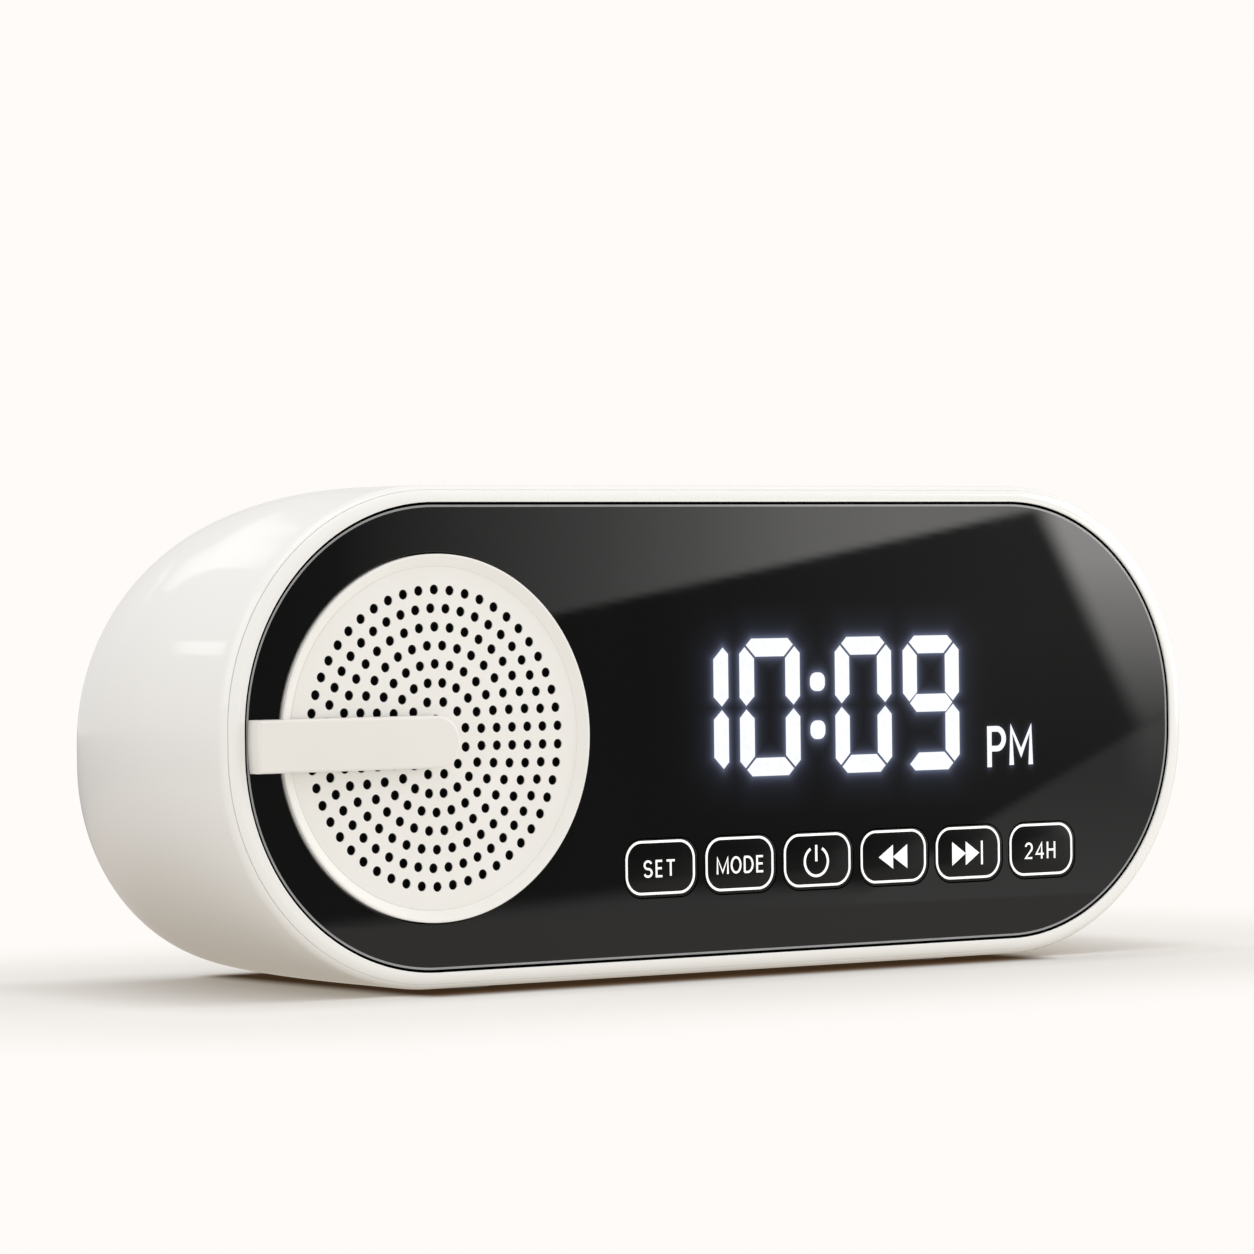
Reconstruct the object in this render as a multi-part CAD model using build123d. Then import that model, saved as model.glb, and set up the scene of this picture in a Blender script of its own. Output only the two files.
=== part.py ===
"""A pill-shaped speaker clock: white casing, black front panel, round speaker grille on the left,
clock display and six push keys on the right.

The front faces -Y, +X is to the right and +Z is up. The origin is on the table, under the middle.
Places are given from the panel's centre: x to the right, z up, and depth inwards from the panel's face.
"""
from build123d import *
import math
import os

os.makedirs("parts", exist_ok=True)

# Casing: outline, depth and the shape of its rounded rear
casing_width = 158.0
casing_height = 64.6
casing_depth = 50.0
end_flat = 2.8
casing_wall = 2.4
round_depth = 36.0
rear_inset = 9.5
underside_share = 0.12
section_count = 6
front_sections = 3
rim_side = 2.9
rim_top = 2.3
rim_proud = 0.3
rim_edge_share = 0.87
parting_depth = 3.0
parting_gap = 0.12
overrun = 1.0
snug_gap = 0.05
fit_gap = 0.15
loose_gap = 0.3

# Front panel of dark acrylic and the tape behind it
glass_thickness = 2.0
glass_gap = 0.4
glass_chamfer = 0.3
glass_hole_chamfer = 0.12
tape_thickness = 0.25
tape_width = 2.0
tape_margin = 0.4

# Front frame: rim, plate behind the panel, skirt and snap lugs
frame_plate = 1.8
skirt_wall = 1.4
skirt_reach = 5.0
lug_width = 8.0
lug_length = 1.4
lug_height = 0.6
lug_setback = 2.2
lug_spacing = 38.0
lug_count = 3

# Speaker grille: a dish with rings of holes
grille_x = -47.15
grille_z = -0.13
grille_radius = 23.9
grille_gap = 0.2
grille_proud = 0.5
grille_rim_flat = 0.55
grille_rim_slope = 1.3
grille_recess = 0.7
grille_plate = 1.2
grille_seat_width = 2.3
hole_radius = 0.58
hole_sides = 8
ring_pitch = 2.378
ring_counts = [6, 12, 20, 26, 32, 38, 45, 50]
peg_radius = 0.9
peg_length = 1.6
peg_count = 4
cloth_thickness = 0.3
sound_radius_front = 20.3
sound_radius_back = 18.7

# Trim bar across the left half of the grille
bar_proud = 2.6
bar_height = 6.7
bar_past_centre = 1.8
bar_drop = 0.4
bar_edge = 0.6
bar_peg_radius = 0.8
bar_peg_spacing = 10.0
bar_peg_inset = 5.5

# Push keys
key_names = ["set", "mode", "power", "rewind", "forward", "24h"]
key_pitch = 13.0
first_key_x = -12.2
key_row_z = -18.1
key_width = 11.8
key_height = 7.7
key_corner = 2.8
key_gap = 0.15
key_edge = 0.15
key_lip_thickness = 1.0
key_lip_reach = 1.0
key_boss_radius = 2.0
key_travel = 0.5

# Switches under the keys
plunger_radius = 1.7
plunger_gap = 0.06
plunger_reach = 0.9
plunger_hold = 1.6
switch_size = 6.0
switch_height = 3.1
board_thickness = 1.6

# Display: four seven-segment digits, a colon and a small light
board_depth = 8.3
digit_width = 10.3
digit_height = 18.35
digit_z = 2.7
digit_lefts = [-10.6, 1.1, 16.9, 28.6]
stroke = 2.42
corner_cut = 2.0
mitre_gap = 0.34
waist_gap = 0.25
point_rise = 1.13
point_share = 0.45
waist_inset = 1.2
segment_depth = 2.6
colon_x = 14.4
colon_size = 2.5
colon_spacing = 6.45
colon_corner = 1.0
light_x = 47.5
light_z = -3.65
light_width = 9.6
light_height = 6.4
light_corner = 0.8
display_margin = 2.0
display_right_margin = 1.7
film_thickness = 0.2

# Front board and its screws
front_board_margin = 1.4
front_board_corner = 8.0
board_boss_radius = 2.2
board_boss_inset = 3.4
board_boss_drop = 1.4
board_boss_top_inset = 4.0

# Small screws, all of one size
screw_radius = 1.0
screw_head_radius = 1.9
screw_head_height = 1.3
screw_pilot_gap = 0.05
screw_hole_gap = 0.2

# Speaker driver
gasket_thickness = 0.8
gasket_outer = 20.4
flange_radius = 20.5
flange_thickness = 0.8
flange_inner = 17.0
ear_pitch_radius = 22.3
ear_radius = 2.9
ear_count = 4
basket_wall = 0.7
basket_depth = 9.0
basket_floor_radius = 13.4
basket_window_count = 4
basket_window_angle = 50.0
surround_outer = 18.6
surround_roll_outer = 16.9
surround_roll_inner = 13.9
surround_inner = 13.4
surround_thickness = 0.4
roll_steps = 6
cone_radius = 13.1
cone_depth = 4.8
cone_wall = 0.5
cap_radius = 6.0
cap_height = 2.1
cap_wall = 0.35
former_radius = 5.2
former_wall = 0.2
former_length = 9.0
coil_thickness = 0.3
coil_length = 3.8
coil_run = 0.3
spider_outer = 12.4
spider_thickness = 0.4
spider_ridge = 0.8
spider_ridges = 3
top_plate_radius = 12.0
top_plate_thickness = 2.4
magnet_radius = 14.0
magnet_inner = 8.4
magnet_thickness = 6.0
yoke_radius = 12.5
yoke_thickness = 2.4
pole_radius = 4.7
terminal_width = 9.0
terminal_depth = 2.0
terminal_thickness = 1.0

# Rear cover
cover_border = 5.0
cover_seat = 3.0
cover_thickness = 2.0
seat_thickness = 1.6
cover_edge = 0.3
cover_screw_inset = 4.2
cover_boss_radius = 3.2
cover_boss_length = 7.6
cover_screw_radius = 1.25
cover_screw_head = 2.2
cover_screw_head_height = 1.4
cover_screw_reach = 5.0

# Feet
foot_radius = 5.0
foot_thickness = 1.7
foot_proud = 0.6
foot_spacing = 76.0
foot_front = 11.0
foot_rear = 38.0
foot_edge = 0.25

# Main board at the bottom of the casing, with its sockets at the rear
main_board_x = -2.0
main_board_width = 52.0
main_board_front = 24.5
main_board_rear = 45.9
main_board_top = -20.0
main_board_corner = 1.5
post_radius = 2.4
post_inset = 3.2
board_screw_grip = 2.4
usb_x = 10.0
usb_width = 8.94
usb_height = 3.26
usb_corner = 1.55
usb_length = 8.0
usb_wall = 0.3
usb_bore = 6.2
usb_tongue_width = 6.7
usb_tongue_height = 0.7
usb_recess = 0.5
card_x = 30.0
card_width = 12.2
card_height = 1.6
card_length = 14.6
card_slot_width = 11.2
card_slot_height = 0.9
radio_x = -0.5
radio_width = 12.0
radio_length = 9.0
radio_height = 2.0
radio_front = 31.6
chip_width = 5.0
chip_length = 4.0
chip_height = 1.5
chip_gap = 1.0
capacitor_radius = 2.5
capacitor_height = 7.0
capacitor_gap = 3.9
capacitor_spacing = 5.4
capacitor_front = 39.6
coil_block = 6.0
coil_block_height = 2.8
coil_block_x = 15.6
coil_block_front = 33.0
plug_width = 5.0
plug_length = 6.0
plug_height = 4.4
plug_front = 25.0
ribbon_width = 14.0
ribbon_thickness = 0.3
ribbon_socket_width = 17.0
ribbon_socket_length = 4.0
ribbon_socket_height = 2.0
ribbon_x = 19.5
ribbon_hold = 1.2
ribbon_socket_front = 26.0
ribbon_socket_top = -7.0
ribbon_bend = 6.0

# Battery and its holder on the rear cover
cell_radius = 9.2
cell_length = 65.0
cell_x = 8.0
cell_z = 3.0
cell_edge = 0.5
cell_button_radius = 3.0
cell_button_height = 0.9
holder_gap = 0.1
holder_wall = 1.5
holder_base = 1.5
holder_base_height = 16.0
holder_clip_width = 8.0
holder_clip_spacing = 38.0
holder_mouth_angle = 110.0
holder_tape = 0.5
holder_tape_margin = 1.0

# Cables, and the points that their routes turn about, as x, depth and z
cable_radius = 0.9
bend_share = 0.45
speaker_route = [(-27.65, 6.65, -0.13), (-27.65, 12.65, -0.13), (-25.5, 17.0, -3.0), (-19.0, 18.5, -8.0),
                 (-9.5, 15.0, -13.0), (0.0, 12.6, -16.6), (6.9, 16.8, -17.8), (6.9, 25.0, -17.8)]
battery_route = [(41.4, 36.7, 3.0), (48.9, 36.7, 3.0), (55.0, 34.0, -2.5), (57.5, 30.0, -10.5),
                 (52.5, 27.5, -17.2), (43.6, 27.5, -17.2)]

# Places that follow from the sizes above
glass_y = -(casing_depth - bar_proud) / 2
panel_z = casing_height / 2 + foot_proud
corner_radius = (casing_height - end_flat) / 2
opening_width = casing_width - 2 * rim_side
opening_height = casing_height - 2 * rim_top
opening_radius = corner_radius - rim_top
round_start = casing_depth - round_depth
glass_seat = glass_thickness + tape_thickness
plate_back = glass_seat + frame_plate
skirt_inset = casing_wall + fit_gap
skirt_end = parting_depth + skirt_reach
inner_depth = casing_depth - cover_thickness - seat_thickness
cover_face = casing_depth - cover_thickness
grille_floor = grille_recess - grille_proud
grille_back = grille_floor + grille_plate
bar_z = grille_z - bar_drop
flange_depth = plate_back + gasket_thickness
flange_back = flange_depth + flange_thickness
basket_floor = flange_back + basket_depth
magnet_front = basket_floor + top_plate_thickness
magnet_back = magnet_front + magnet_thickness
switch_top = board_depth - switch_height
plunger_tip = switch_top - plunger_reach
key_lip_depth = glass_thickness + snug_gap
key_lip_back = key_lip_depth + key_lip_thickness
key_xs = [first_key_x + key_pitch * i for i in range(len(key_names))]
display_left = digit_lefts[0] - display_margin
display_right = light_x + light_width / 2 + display_right_margin
display_bottom = digit_z - digit_height / 2 - display_margin
display_top = digit_z + digit_height / 2 + display_margin
display_front = glass_seat + snug_gap
main_board_bottom = main_board_top - board_thickness
cell_depth = cover_face - holder_tape - holder_base - holder_gap - cell_radius


def front_plane(depth):
    """A plane facing the front at this depth, with x to the right and its y upwards."""
    return Plane(origin=(0, glass_y + depth, panel_z), x_dir=(1, 0, 0), z_dir=(0, -1, 0))


def slab(outline, start, end):
    """An outline drawn as seen from the front, made solid from depth start to depth end."""
    return extrude(front_plane(end) * outline, amount=end - start)


def floor_slab(outline, low, high):
    """An outline drawn as seen from above, in x and depth, made solid from height low to high."""
    plane = Plane(origin=(0, glass_y, panel_z + low), x_dir=(1, 0, 0), z_dir=(0, 0, 1))
    return extrude(plane * outline, amount=high - low)


def box(left, right, front, back, low, high):
    """A plain block between two places."""
    middle = ((left + right) / 2, glass_y + (front + back) / 2, panel_z + (low + high) / 2)
    return Pos(*middle) * Box(right - left, back - front, high - low)


def turned(points, x, z):
    """A closed outline of (radius, depth) points, turned about an axis that runs front to back."""
    plane = Plane(origin=(x, glass_y, panel_z + z), x_dir=(1, 0, 0), z_dir=(0, 0, 1))
    axis = Axis((x, glass_y, panel_z + z), (0, 1, 0))
    return revolve(plane * make_face(Polyline(*points, close=True)), axis)


def speaker_turned(points):
    """A turned piece on the speaker's axis."""
    return turned(points, grille_x, grille_z)


def rod(x, z, radius, start, end):
    """A round bar that runs front to back."""
    return slab(Pos(x, z) * Circle(radius), start, end)


def ring_places(radius, count, first_angle):
    """Evenly spaced places on a circle about the speaker's axis."""
    angles = [math.radians(first_angle + 360 * i / count) for i in range(count)]
    return [(grille_x + radius * math.cos(a), grille_z + radius * math.sin(a)) for a in angles]


def rounded(width, height, radius):
    """A rectangle with round corners, centred on the origin."""
    return RectangleRounded(width, height, radius)


def outline(inset):
    """The casing's straight front outline, drawn in by an inset."""
    return rounded(casing_width - 2 * inset, casing_height - 2 * inset, corner_radius - inset)


def opening(inset):
    """The outline of the rim's opening, drawn in by an inset."""
    return rounded(opening_width - 2 * inset, opening_height - 2 * inset, opening_radius - inset)


def rounded_section(drawn_in, wall):
    """The casing's outline where its rounding has drawn in the top and ends by this much.

    The underside rises by only a share of it, so the clock stands flat."""
    rise = drawn_in * underside_share
    width = casing_width - 2 * (drawn_in + wall)
    height = casing_height - drawn_in - rise - 2 * wall
    radius = corner_radius - (drawn_in + rise) / 2 - wall
    return Pos(0, (rise - drawn_in) / 2) * rounded(width, height, radius)


def rounding(depth):
    """How far the elliptical rounding has drawn in the casing at this depth."""
    reach = max(depth - round_start, 0) / round_depth
    return rear_inset * (1 - math.sqrt(1 - min(reach, 1) ** 2))


def casing_form(wall, start, end):
    """The casing's form between two depths, drawn in by a wall: a straight front and a rounded rear."""
    last_turn = math.asin(min((end - round_start) / round_depth, 1))
    faces = [front_plane(start + (round_start - start) * i / front_sections) * rounded_section(0, wall)
             for i in range(front_sections)]
    for i in range(section_count + 1):
        turn = last_turn * i / section_count
        depth = round_start + round_depth * math.sin(turn)
        drawn_in = rear_inset * (1 - math.cos(turn))
        faces.append(front_plane(depth) * rounded_section(drawn_in, wall))
    return loft(faces)


def screw(x, z, head_depth, length, radius, head_radius, head_height):
    """A pan-head screw driven from the rear towards the front."""
    shank = rod(x, z, radius, head_depth - length, head_depth)
    return shank + rod(x, z, head_radius, head_depth, head_depth + head_height)


def cover_screw_places():
    """The four places of the rear cover's screws, in from its rounded corners."""
    rise = rear_inset * underside_share
    radius = corner_radius - (rear_inset + rise) / 2 - cover_border
    half_width = casing_width / 2 - rear_inset - cover_border - radius
    half_height = (casing_height - rear_inset - rise) / 2 - cover_border - radius
    reach = (radius - cover_screw_inset) * math.sqrt(0.5)
    middle = (rise - rear_inset) / 2
    return [(sx * (half_width + reach), middle + sz * (half_height + reach))
            for sx in (-1, 1) for sz in (-1, 1)]


def foot_places():
    """The feet's places, in x and depth."""
    return [(sx * foot_spacing / 2, depth) for sx in (-1, 1) for depth in (foot_front, foot_rear)]


def lug_places():
    """The snap lugs' places along the skirt's top and bottom, as x and the side they are on."""
    middle = (lug_count - 1) / 2
    return [(lug_spacing * (i - middle), side) for i in range(lug_count) for side in (-1, 1)]


def lug(x, side, grow):
    """One snap lug on the skirt, or with growth the pocket that takes it."""
    face = casing_height / 2 - skirt_inset
    front = skirt_end - lug_setback - grow
    back = skirt_end - lug_setback + lug_length + grow
    inner = side * (face - skirt_wall / 2)
    outer = side * (face + lug_height + grow)
    half = lug_width / 2 + grow
    return box(x - half, x + half, front, back, min(inner, outer), max(inner, outer))


def display_bounds(grow):
    """The display's outline, with a margin round it."""
    width = display_right - display_left + 2 * grow
    height = display_top - display_bottom + 2 * grow
    middle = ((display_left + display_right) / 2, (display_bottom + display_top) / 2)
    return Pos(*middle) * Rectangle(width, height)


def front_board_edges():
    """Left, right, bottom and top of the front board."""
    left = key_xs[0] - key_width / 2 - front_board_margin
    right = key_xs[-1] + key_width / 2 + front_board_margin
    bottom = key_row_z - key_height / 2 - front_board_margin
    return left, right, bottom, display_top + front_board_margin


def board_boss_places():
    """Bosses beside the display that carry the front board."""
    low = display_bottom - board_boss_drop
    left, right, bottom, top = front_board_edges()
    xs = (display_left - board_boss_inset, display_right + board_boss_inset)
    return [(x, z) for x in xs for z in (low, top - board_boss_top_inset)]


def key_window(x):
    """The pocket in the frame's plate behind one key, with room for its lips."""
    width = key_width + 2 * (key_gap + fit_gap)
    height = key_height + 2 * (key_lip_reach + fit_gap)
    return Pos(x, key_row_z) * Rectangle(width, height)


def front_frame():
    """Rim round the panel, plate behind it, skirt inside the casing, and all the bosses."""
    rim = slab(outline(0), -rim_proud, parting_depth)
    rim = fillet(rim.edges().group_by(Axis.Y)[0], rim_top * rim_edge_share)
    frame = rim + slab(outline(skirt_inset), parting_depth, skirt_end)
    frame -= slab(opening(0), -rim_proud - overrun, glass_seat)
    frame -= slab(outline(skirt_inset + skirt_wall), plate_back, skirt_end + overrun)
    for x, side in lug_places():
        frame += lug(x, side, 0)
    for x, z in ring_places(ear_pitch_radius, ear_count, 45):
        frame += rod(x, z, ear_radius, plate_back - snug_gap, flange_depth)
    for x, z in board_boss_places():
        frame += rod(x, z, board_boss_radius, plate_back - snug_gap, board_depth)
    frame -= speaker_turned([(0, glass_seat - overrun), (sound_radius_front, glass_seat - overrun),
                             (sound_radius_front, glass_seat), (sound_radius_back, plate_back),
                             (sound_radius_back, plate_back + overrun), (0, plate_back + overrun)])
    frame -= slab(display_bounds(loose_gap), glass_seat - overrun, plate_back + overrun)
    for x in key_xs:
        frame -= slab(key_window(x), glass_seat - overrun, plate_back + overrun)
    for x, z in ring_places(grille_radius - grille_seat_width / 2, peg_count, 0):
        frame -= rod(x, z, peg_radius + snug_gap, glass_seat - overrun, plate_back + overrun)
    for x, z in ring_places(ear_pitch_radius, ear_count, 45):
        frame -= rod(x, z, screw_radius + screw_pilot_gap, glass_seat + tape_thickness,
                     flange_depth + overrun)
    for x, z in board_boss_places():
        frame -= rod(x, z, screw_radius + screw_pilot_gap, plate_back, board_depth + overrun)
    return frame


def casing_shell():
    """The casing: a sleeve with a rounded rear, a seat for the rear cover, bosses, posts and pockets."""
    start = parting_depth + parting_gap
    shell = casing_form(0, start, casing_depth)
    shell -= casing_form(casing_wall, start - overrun, inner_depth)
    shell -= slab(rounded_section(rear_inset, cover_border), cover_face, casing_depth + overrun)
    seat_opening = rounded_section(rear_inset, cover_border + cover_seat)
    shell -= slab(seat_opening, inner_depth - overrun, casing_depth + overrun)
    for x, z in cover_screw_places():
        shell += rod(x, z, cover_boss_radius, cover_face - cover_boss_length, cover_face)
    for x, z in cover_screw_places():
        shell -= rod(x, z, cover_screw_radius + screw_pilot_gap, cover_face - cover_boss_length + overrun,
                     cover_face + overrun)
    for x, depth in post_places():
        foot = casing_wall / 2 - casing_height / 2 + rounding(depth) * underside_share
        shell += floor_slab(Pos(x, depth) * Circle(post_radius), foot, main_board_bottom)
        pilot = Pos(x, depth) * Circle(screw_radius + screw_pilot_gap)
        shell -= floor_slab(pilot, main_board_bottom - board_screw_grip - loose_gap,
                            main_board_bottom + overrun)
    for x, side in lug_places():
        shell -= lug(x, side, fit_gap)
    for x, depth in foot_places():
        pocket = Pos(x, depth) * Circle(foot_radius + fit_gap)
        shell -= floor_slab(pocket, -panel_z - overrun, foot_thickness + snug_gap - panel_z)
    return shell


def post_places():
    """The posts that carry the main board, in x and depth."""
    xs = (main_board_x + post_inset, main_board_x + main_board_width - post_inset)
    depths = (main_board_front + post_inset, main_board_rear - post_inset)
    return [(x, depth) for x in xs for depth in depths]


def front_panel():
    """The dark acrylic panel with its speaker hole and six key openings."""
    panel = slab(opening(glass_gap), 0, glass_thickness)
    panel = chamfer(panel.edges().group_by(Axis.Y)[0], glass_chamfer)
    hole = grille_radius + grille_gap
    wide = hole + glass_hole_chamfer
    panel -= speaker_turned([(0, -overrun), (wide + overrun, -overrun), (hole, glass_hole_chamfer),
                             (hole, glass_thickness + overrun), (0, glass_thickness + overrun)])
    for x in key_xs:
        key_opening = rounded(key_width + 2 * key_gap, key_height + 2 * key_gap, key_corner + key_gap)
        panel -= slab(Pos(x, key_row_z) * key_opening, -overrun, glass_thickness + overrun)
    return panel


def panel_tape():
    """A ring of double-sided tape between the panel and the frame."""
    ring = opening(glass_gap + tape_margin) - opening(glass_gap + tape_margin + tape_width)
    tape = slab(ring, glass_thickness, glass_seat)
    return tape - rod(grille_x, grille_z, grille_radius + grille_gap, 0, glass_seat + overrun)


def grille_dish():
    """The grille's solid form: a raised rim, a slope and a recessed plate, open at the back."""
    flat_start = grille_radius - grille_rim_flat
    slope_start = flat_start - grille_rim_slope
    seat_start = grille_radius - grille_seat_width
    return speaker_turned([(0, grille_floor), (slope_start, grille_floor), (flat_start, -grille_proud),
                           (grille_radius, -grille_proud), (grille_radius, glass_seat),
                           (seat_start, glass_seat), (seat_start, grille_back), (0, grille_back)])


def bar_right():
    """The trim bar's right end, just past the grille's centre."""
    return grille_x + bar_past_centre


def bar_outline(inset):
    """The bar as seen from the front: its right end is round and its left end follows the rim."""
    left = -opening_width / 2 - overrun
    width = bar_right() - left
    strip = Pos(left + width / 2, bar_z) * Rectangle(width, bar_height - 2 * inset)
    strip -= Pos(bar_right(), bar_z) * Rectangle(bar_height, bar_height)
    strip += Pos(bar_right() - bar_height / 2, bar_z) * Circle(bar_height / 2 - inset)
    return strip & opening(fit_gap + inset)


def bar_peg_places():
    """The two pegs that hold the bar to the grille's plate."""
    first = bar_right() - bar_peg_inset
    return [(first, bar_z), (first - bar_peg_spacing, bar_z)]


def is_under_bar(x, z):
    """Whether a grille hole at this place is wholly covered by the bar."""
    beside = abs(z - bar_z) + hole_radius < bar_height / 2
    short_of_end = x + hole_radius < bar_right() - bar_height / 2
    in_round_end = math.hypot(x - bar_right() + bar_height / 2, z - bar_z) + hole_radius < bar_height / 2
    return beside and (short_of_end or in_round_end)


def grille_hole_places():
    """The holes of the grille: rings of even pitch, without those that the bar covers."""
    places = []
    for ring, count in enumerate(ring_counts, start=1):
        for x, z in ring_places(ring_pitch * ring, count, 180 / count):
            if not is_under_bar(x, z):
                places.append((x, z))
    return places


def grille_hole(x, z):
    """One hole through the grille's plate."""
    hole = Pos(x, z) * RegularPolygon(hole_radius, hole_sides)
    return slab(hole, grille_floor - overrun, grille_back + overrun)


def speaker_grille():
    """The perforated grille, with pegs behind its rim."""
    dish = grille_dish()
    for x, z in ring_places(grille_radius - grille_seat_width / 2, peg_count, 0):
        dish += rod(x, z, peg_radius, glass_seat - snug_gap, glass_seat + peg_length)
    dish -= [grille_hole(x, z) for x, z in grille_hole_places()]
    for x, z in bar_peg_places():
        dish -= rod(x, z, bar_peg_radius + snug_gap, -overrun, grille_back + overrun)
    return dish


def grille_cloth():
    """Black cloth behind the grille's plate."""
    radius = grille_radius - grille_seat_width - loose_gap
    return rod(grille_x, grille_z, radius, grille_back, grille_back + cloth_thickness)


def trim_bar():
    """The bar that lies over the panel and the grille, relieved over the grille's rim."""
    bar = slab(bar_outline(0), -bar_proud, 0)
    bar = fillet(bar.edges().group_by(Axis.Y)[0], bar_edge)
    inside = Pos(grille_x, grille_z) * Circle(grille_radius)
    bar += slab(bar_outline(bar_edge) & inside, -snug_gap, grille_floor)
    bar -= grille_dish()
    for x, z in bar_peg_places():
        bar += rod(x, z, bar_peg_radius, -snug_gap, grille_back)
    return bar


def key_cap(x):
    """One push key: a cap flush with the panel, lips that stop it, and a boss for its switch."""
    cap = slab(Pos(x, key_row_z) * rounded(key_width, key_height, key_corner), 0, key_lip_depth)
    cap = chamfer(cap.edges().group_by(Axis.Y)[0], key_edge)
    lip = Pos(x, key_row_z) * Rectangle(key_width, key_height + 2 * key_lip_reach)
    cap += slab(lip, key_lip_depth, key_lip_back)
    return cap + rod(x, key_row_z, key_boss_radius, key_lip_back - snug_gap, plunger_tip)


def switch_plunger(x):
    """The plunger of one switch."""
    return rod(x, key_row_z, plunger_radius, plunger_tip, switch_top + plunger_hold)


def switch_housings():
    """Six square switch housings on the front board."""
    housings = []
    for x in key_xs:
        body = slab(Pos(x, key_row_z) * Rectangle(switch_size, switch_size), switch_top, board_depth)
        bore = plunger_hold + key_travel + loose_gap
        housings.append(body - rod(x, key_row_z, plunger_radius + plunger_gap, switch_top - overrun,
                                   switch_top + bore))
    return Compound(housings)


def front_board():
    """The board behind the display and the keys."""
    left, right, bottom, top = front_board_edges()
    middle = Pos((left + right) / 2, (bottom + top) / 2)
    shape = middle * rounded(right - left, top - bottom, front_board_corner)
    board = slab(shape, board_depth, board_depth + board_thickness)
    for x, z in board_boss_places():
        board -= rod(x, z, screw_radius + screw_hole_gap, board_depth - overrun,
                     board_depth + board_thickness + overrun)
    return board


def front_board_screws():
    """Four screws that hold the front board."""
    head = board_depth + board_thickness
    length = board_thickness + board_depth - plate_back - loose_gap
    return Compound([screw(x, z, head, length, screw_radius, screw_head_radius, screw_head_height)
                     for x, z in board_boss_places()])


def upright_segment(side, level):
    """One upright segment about its digit's middle: a point at the waist, a mitre and a cut corner."""
    wide, high = digit_width / 2, digit_height / 2
    lean = mitre_gap / (2 * math.sqrt(2))
    inner = wide - stroke
    shoulder = waist_gap + point_rise
    points = [(wide - stroke * point_share, waist_gap), (wide, shoulder), (wide, high - corner_cut),
              (wide - corner_cut / 2 + lean, high - corner_cut / 2 - lean),
              (inner, high - stroke - 2 * lean), (inner, shoulder)]
    return make_face(Polyline(*[(side * x, level * z) for x, z in points], close=True))


def level_segment(level):
    """The top or bottom segment, with cut outer corners and mitred ends."""
    wide, high = digit_width / 2, digit_height / 2
    lean = mitre_gap / (2 * math.sqrt(2))
    right = [(wide - stroke - 2 * lean, high - stroke),
             (wide - corner_cut / 2 - lean, high - corner_cut / 2 + lean), (wide - corner_cut, high)]
    left = [(-x, z) for x, z in right[::-1]]
    return make_face(Polyline(*[(x, level * z) for x, z in right + left], close=True))


def middle_segment():
    """The segment across the waist, pointed at both ends."""
    half = stroke / 2
    end = digit_width / 2 - waist_inset
    shoulder = end - point_rise
    return make_face(Polyline((end, 0), (shoulder, half), (-shoulder, half), (-end, 0),
                              (-shoulder, -half), (shoulder, -half), close=True))


def segment_shapes():
    """All segments of the four digits and the two dots of the colon."""
    shapes = []
    for left in digit_lefts:
        place = Pos(left + digit_width / 2, digit_z)
        shapes.append(place * middle_segment())
        for level in (-1, 1):
            shapes.append(place * level_segment(level))
            shapes += [place * upright_segment(side, level) for side in (-1, 1)]
    for level in (-1, 1):
        dot = rounded(colon_size, colon_size, colon_corner)
        shapes.append(Pos(colon_x, digit_z + level * colon_spacing / 2) * dot)
    return shapes


def display_segments():
    """The light guides of the digits and the colon."""
    back = display_front + segment_depth
    return Compound([slab(shape, display_front, back) for shape in segment_shapes()])


def light_window(grow):
    """The outline of the small light beside the digits."""
    return Pos(light_x, light_z) * rounded(light_width + 2 * grow, light_height + 2 * grow, light_corner)


def indicator_lens():
    """The small light beside the digits."""
    return slab(light_window(0), display_front, display_front + segment_depth)


def display_housing():
    """The display's dark housing, with a pocket for each light guide."""
    housing = slab(display_bounds(0), display_front, board_depth)
    pockets = Sketch() + [offset(shape, snug_gap, kind=Kind.INTERSECTION) for shape in segment_shapes()]
    back = display_front + segment_depth + snug_gap
    housing -= slab(pockets, display_front - overrun, back)
    return housing - slab(light_window(snug_gap), display_front - overrun, back)


def display_film():
    """A thin tinted film between the display and the panel."""
    return slab(display_bounds(0), glass_thickness + snug_gap / 2, glass_thickness + film_thickness)


def speaker_gasket():
    """A foam ring between the frame's plate and the speaker's flange."""
    return speaker_turned([(sound_radius_back, plate_back), (gasket_outer, plate_back),
                           (gasket_outer, flange_depth), (sound_radius_back, flange_depth)]) - ear_bosses()


def ear_bosses():
    """Room for the four bosses that the speaker's ears sit on."""
    rods = [rod(x, z, ear_radius + fit_gap, plate_back - overrun, flange_depth + overrun)
            for x, z in ring_places(ear_pitch_radius, ear_count, 45)]
    return Part() + rods


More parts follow.
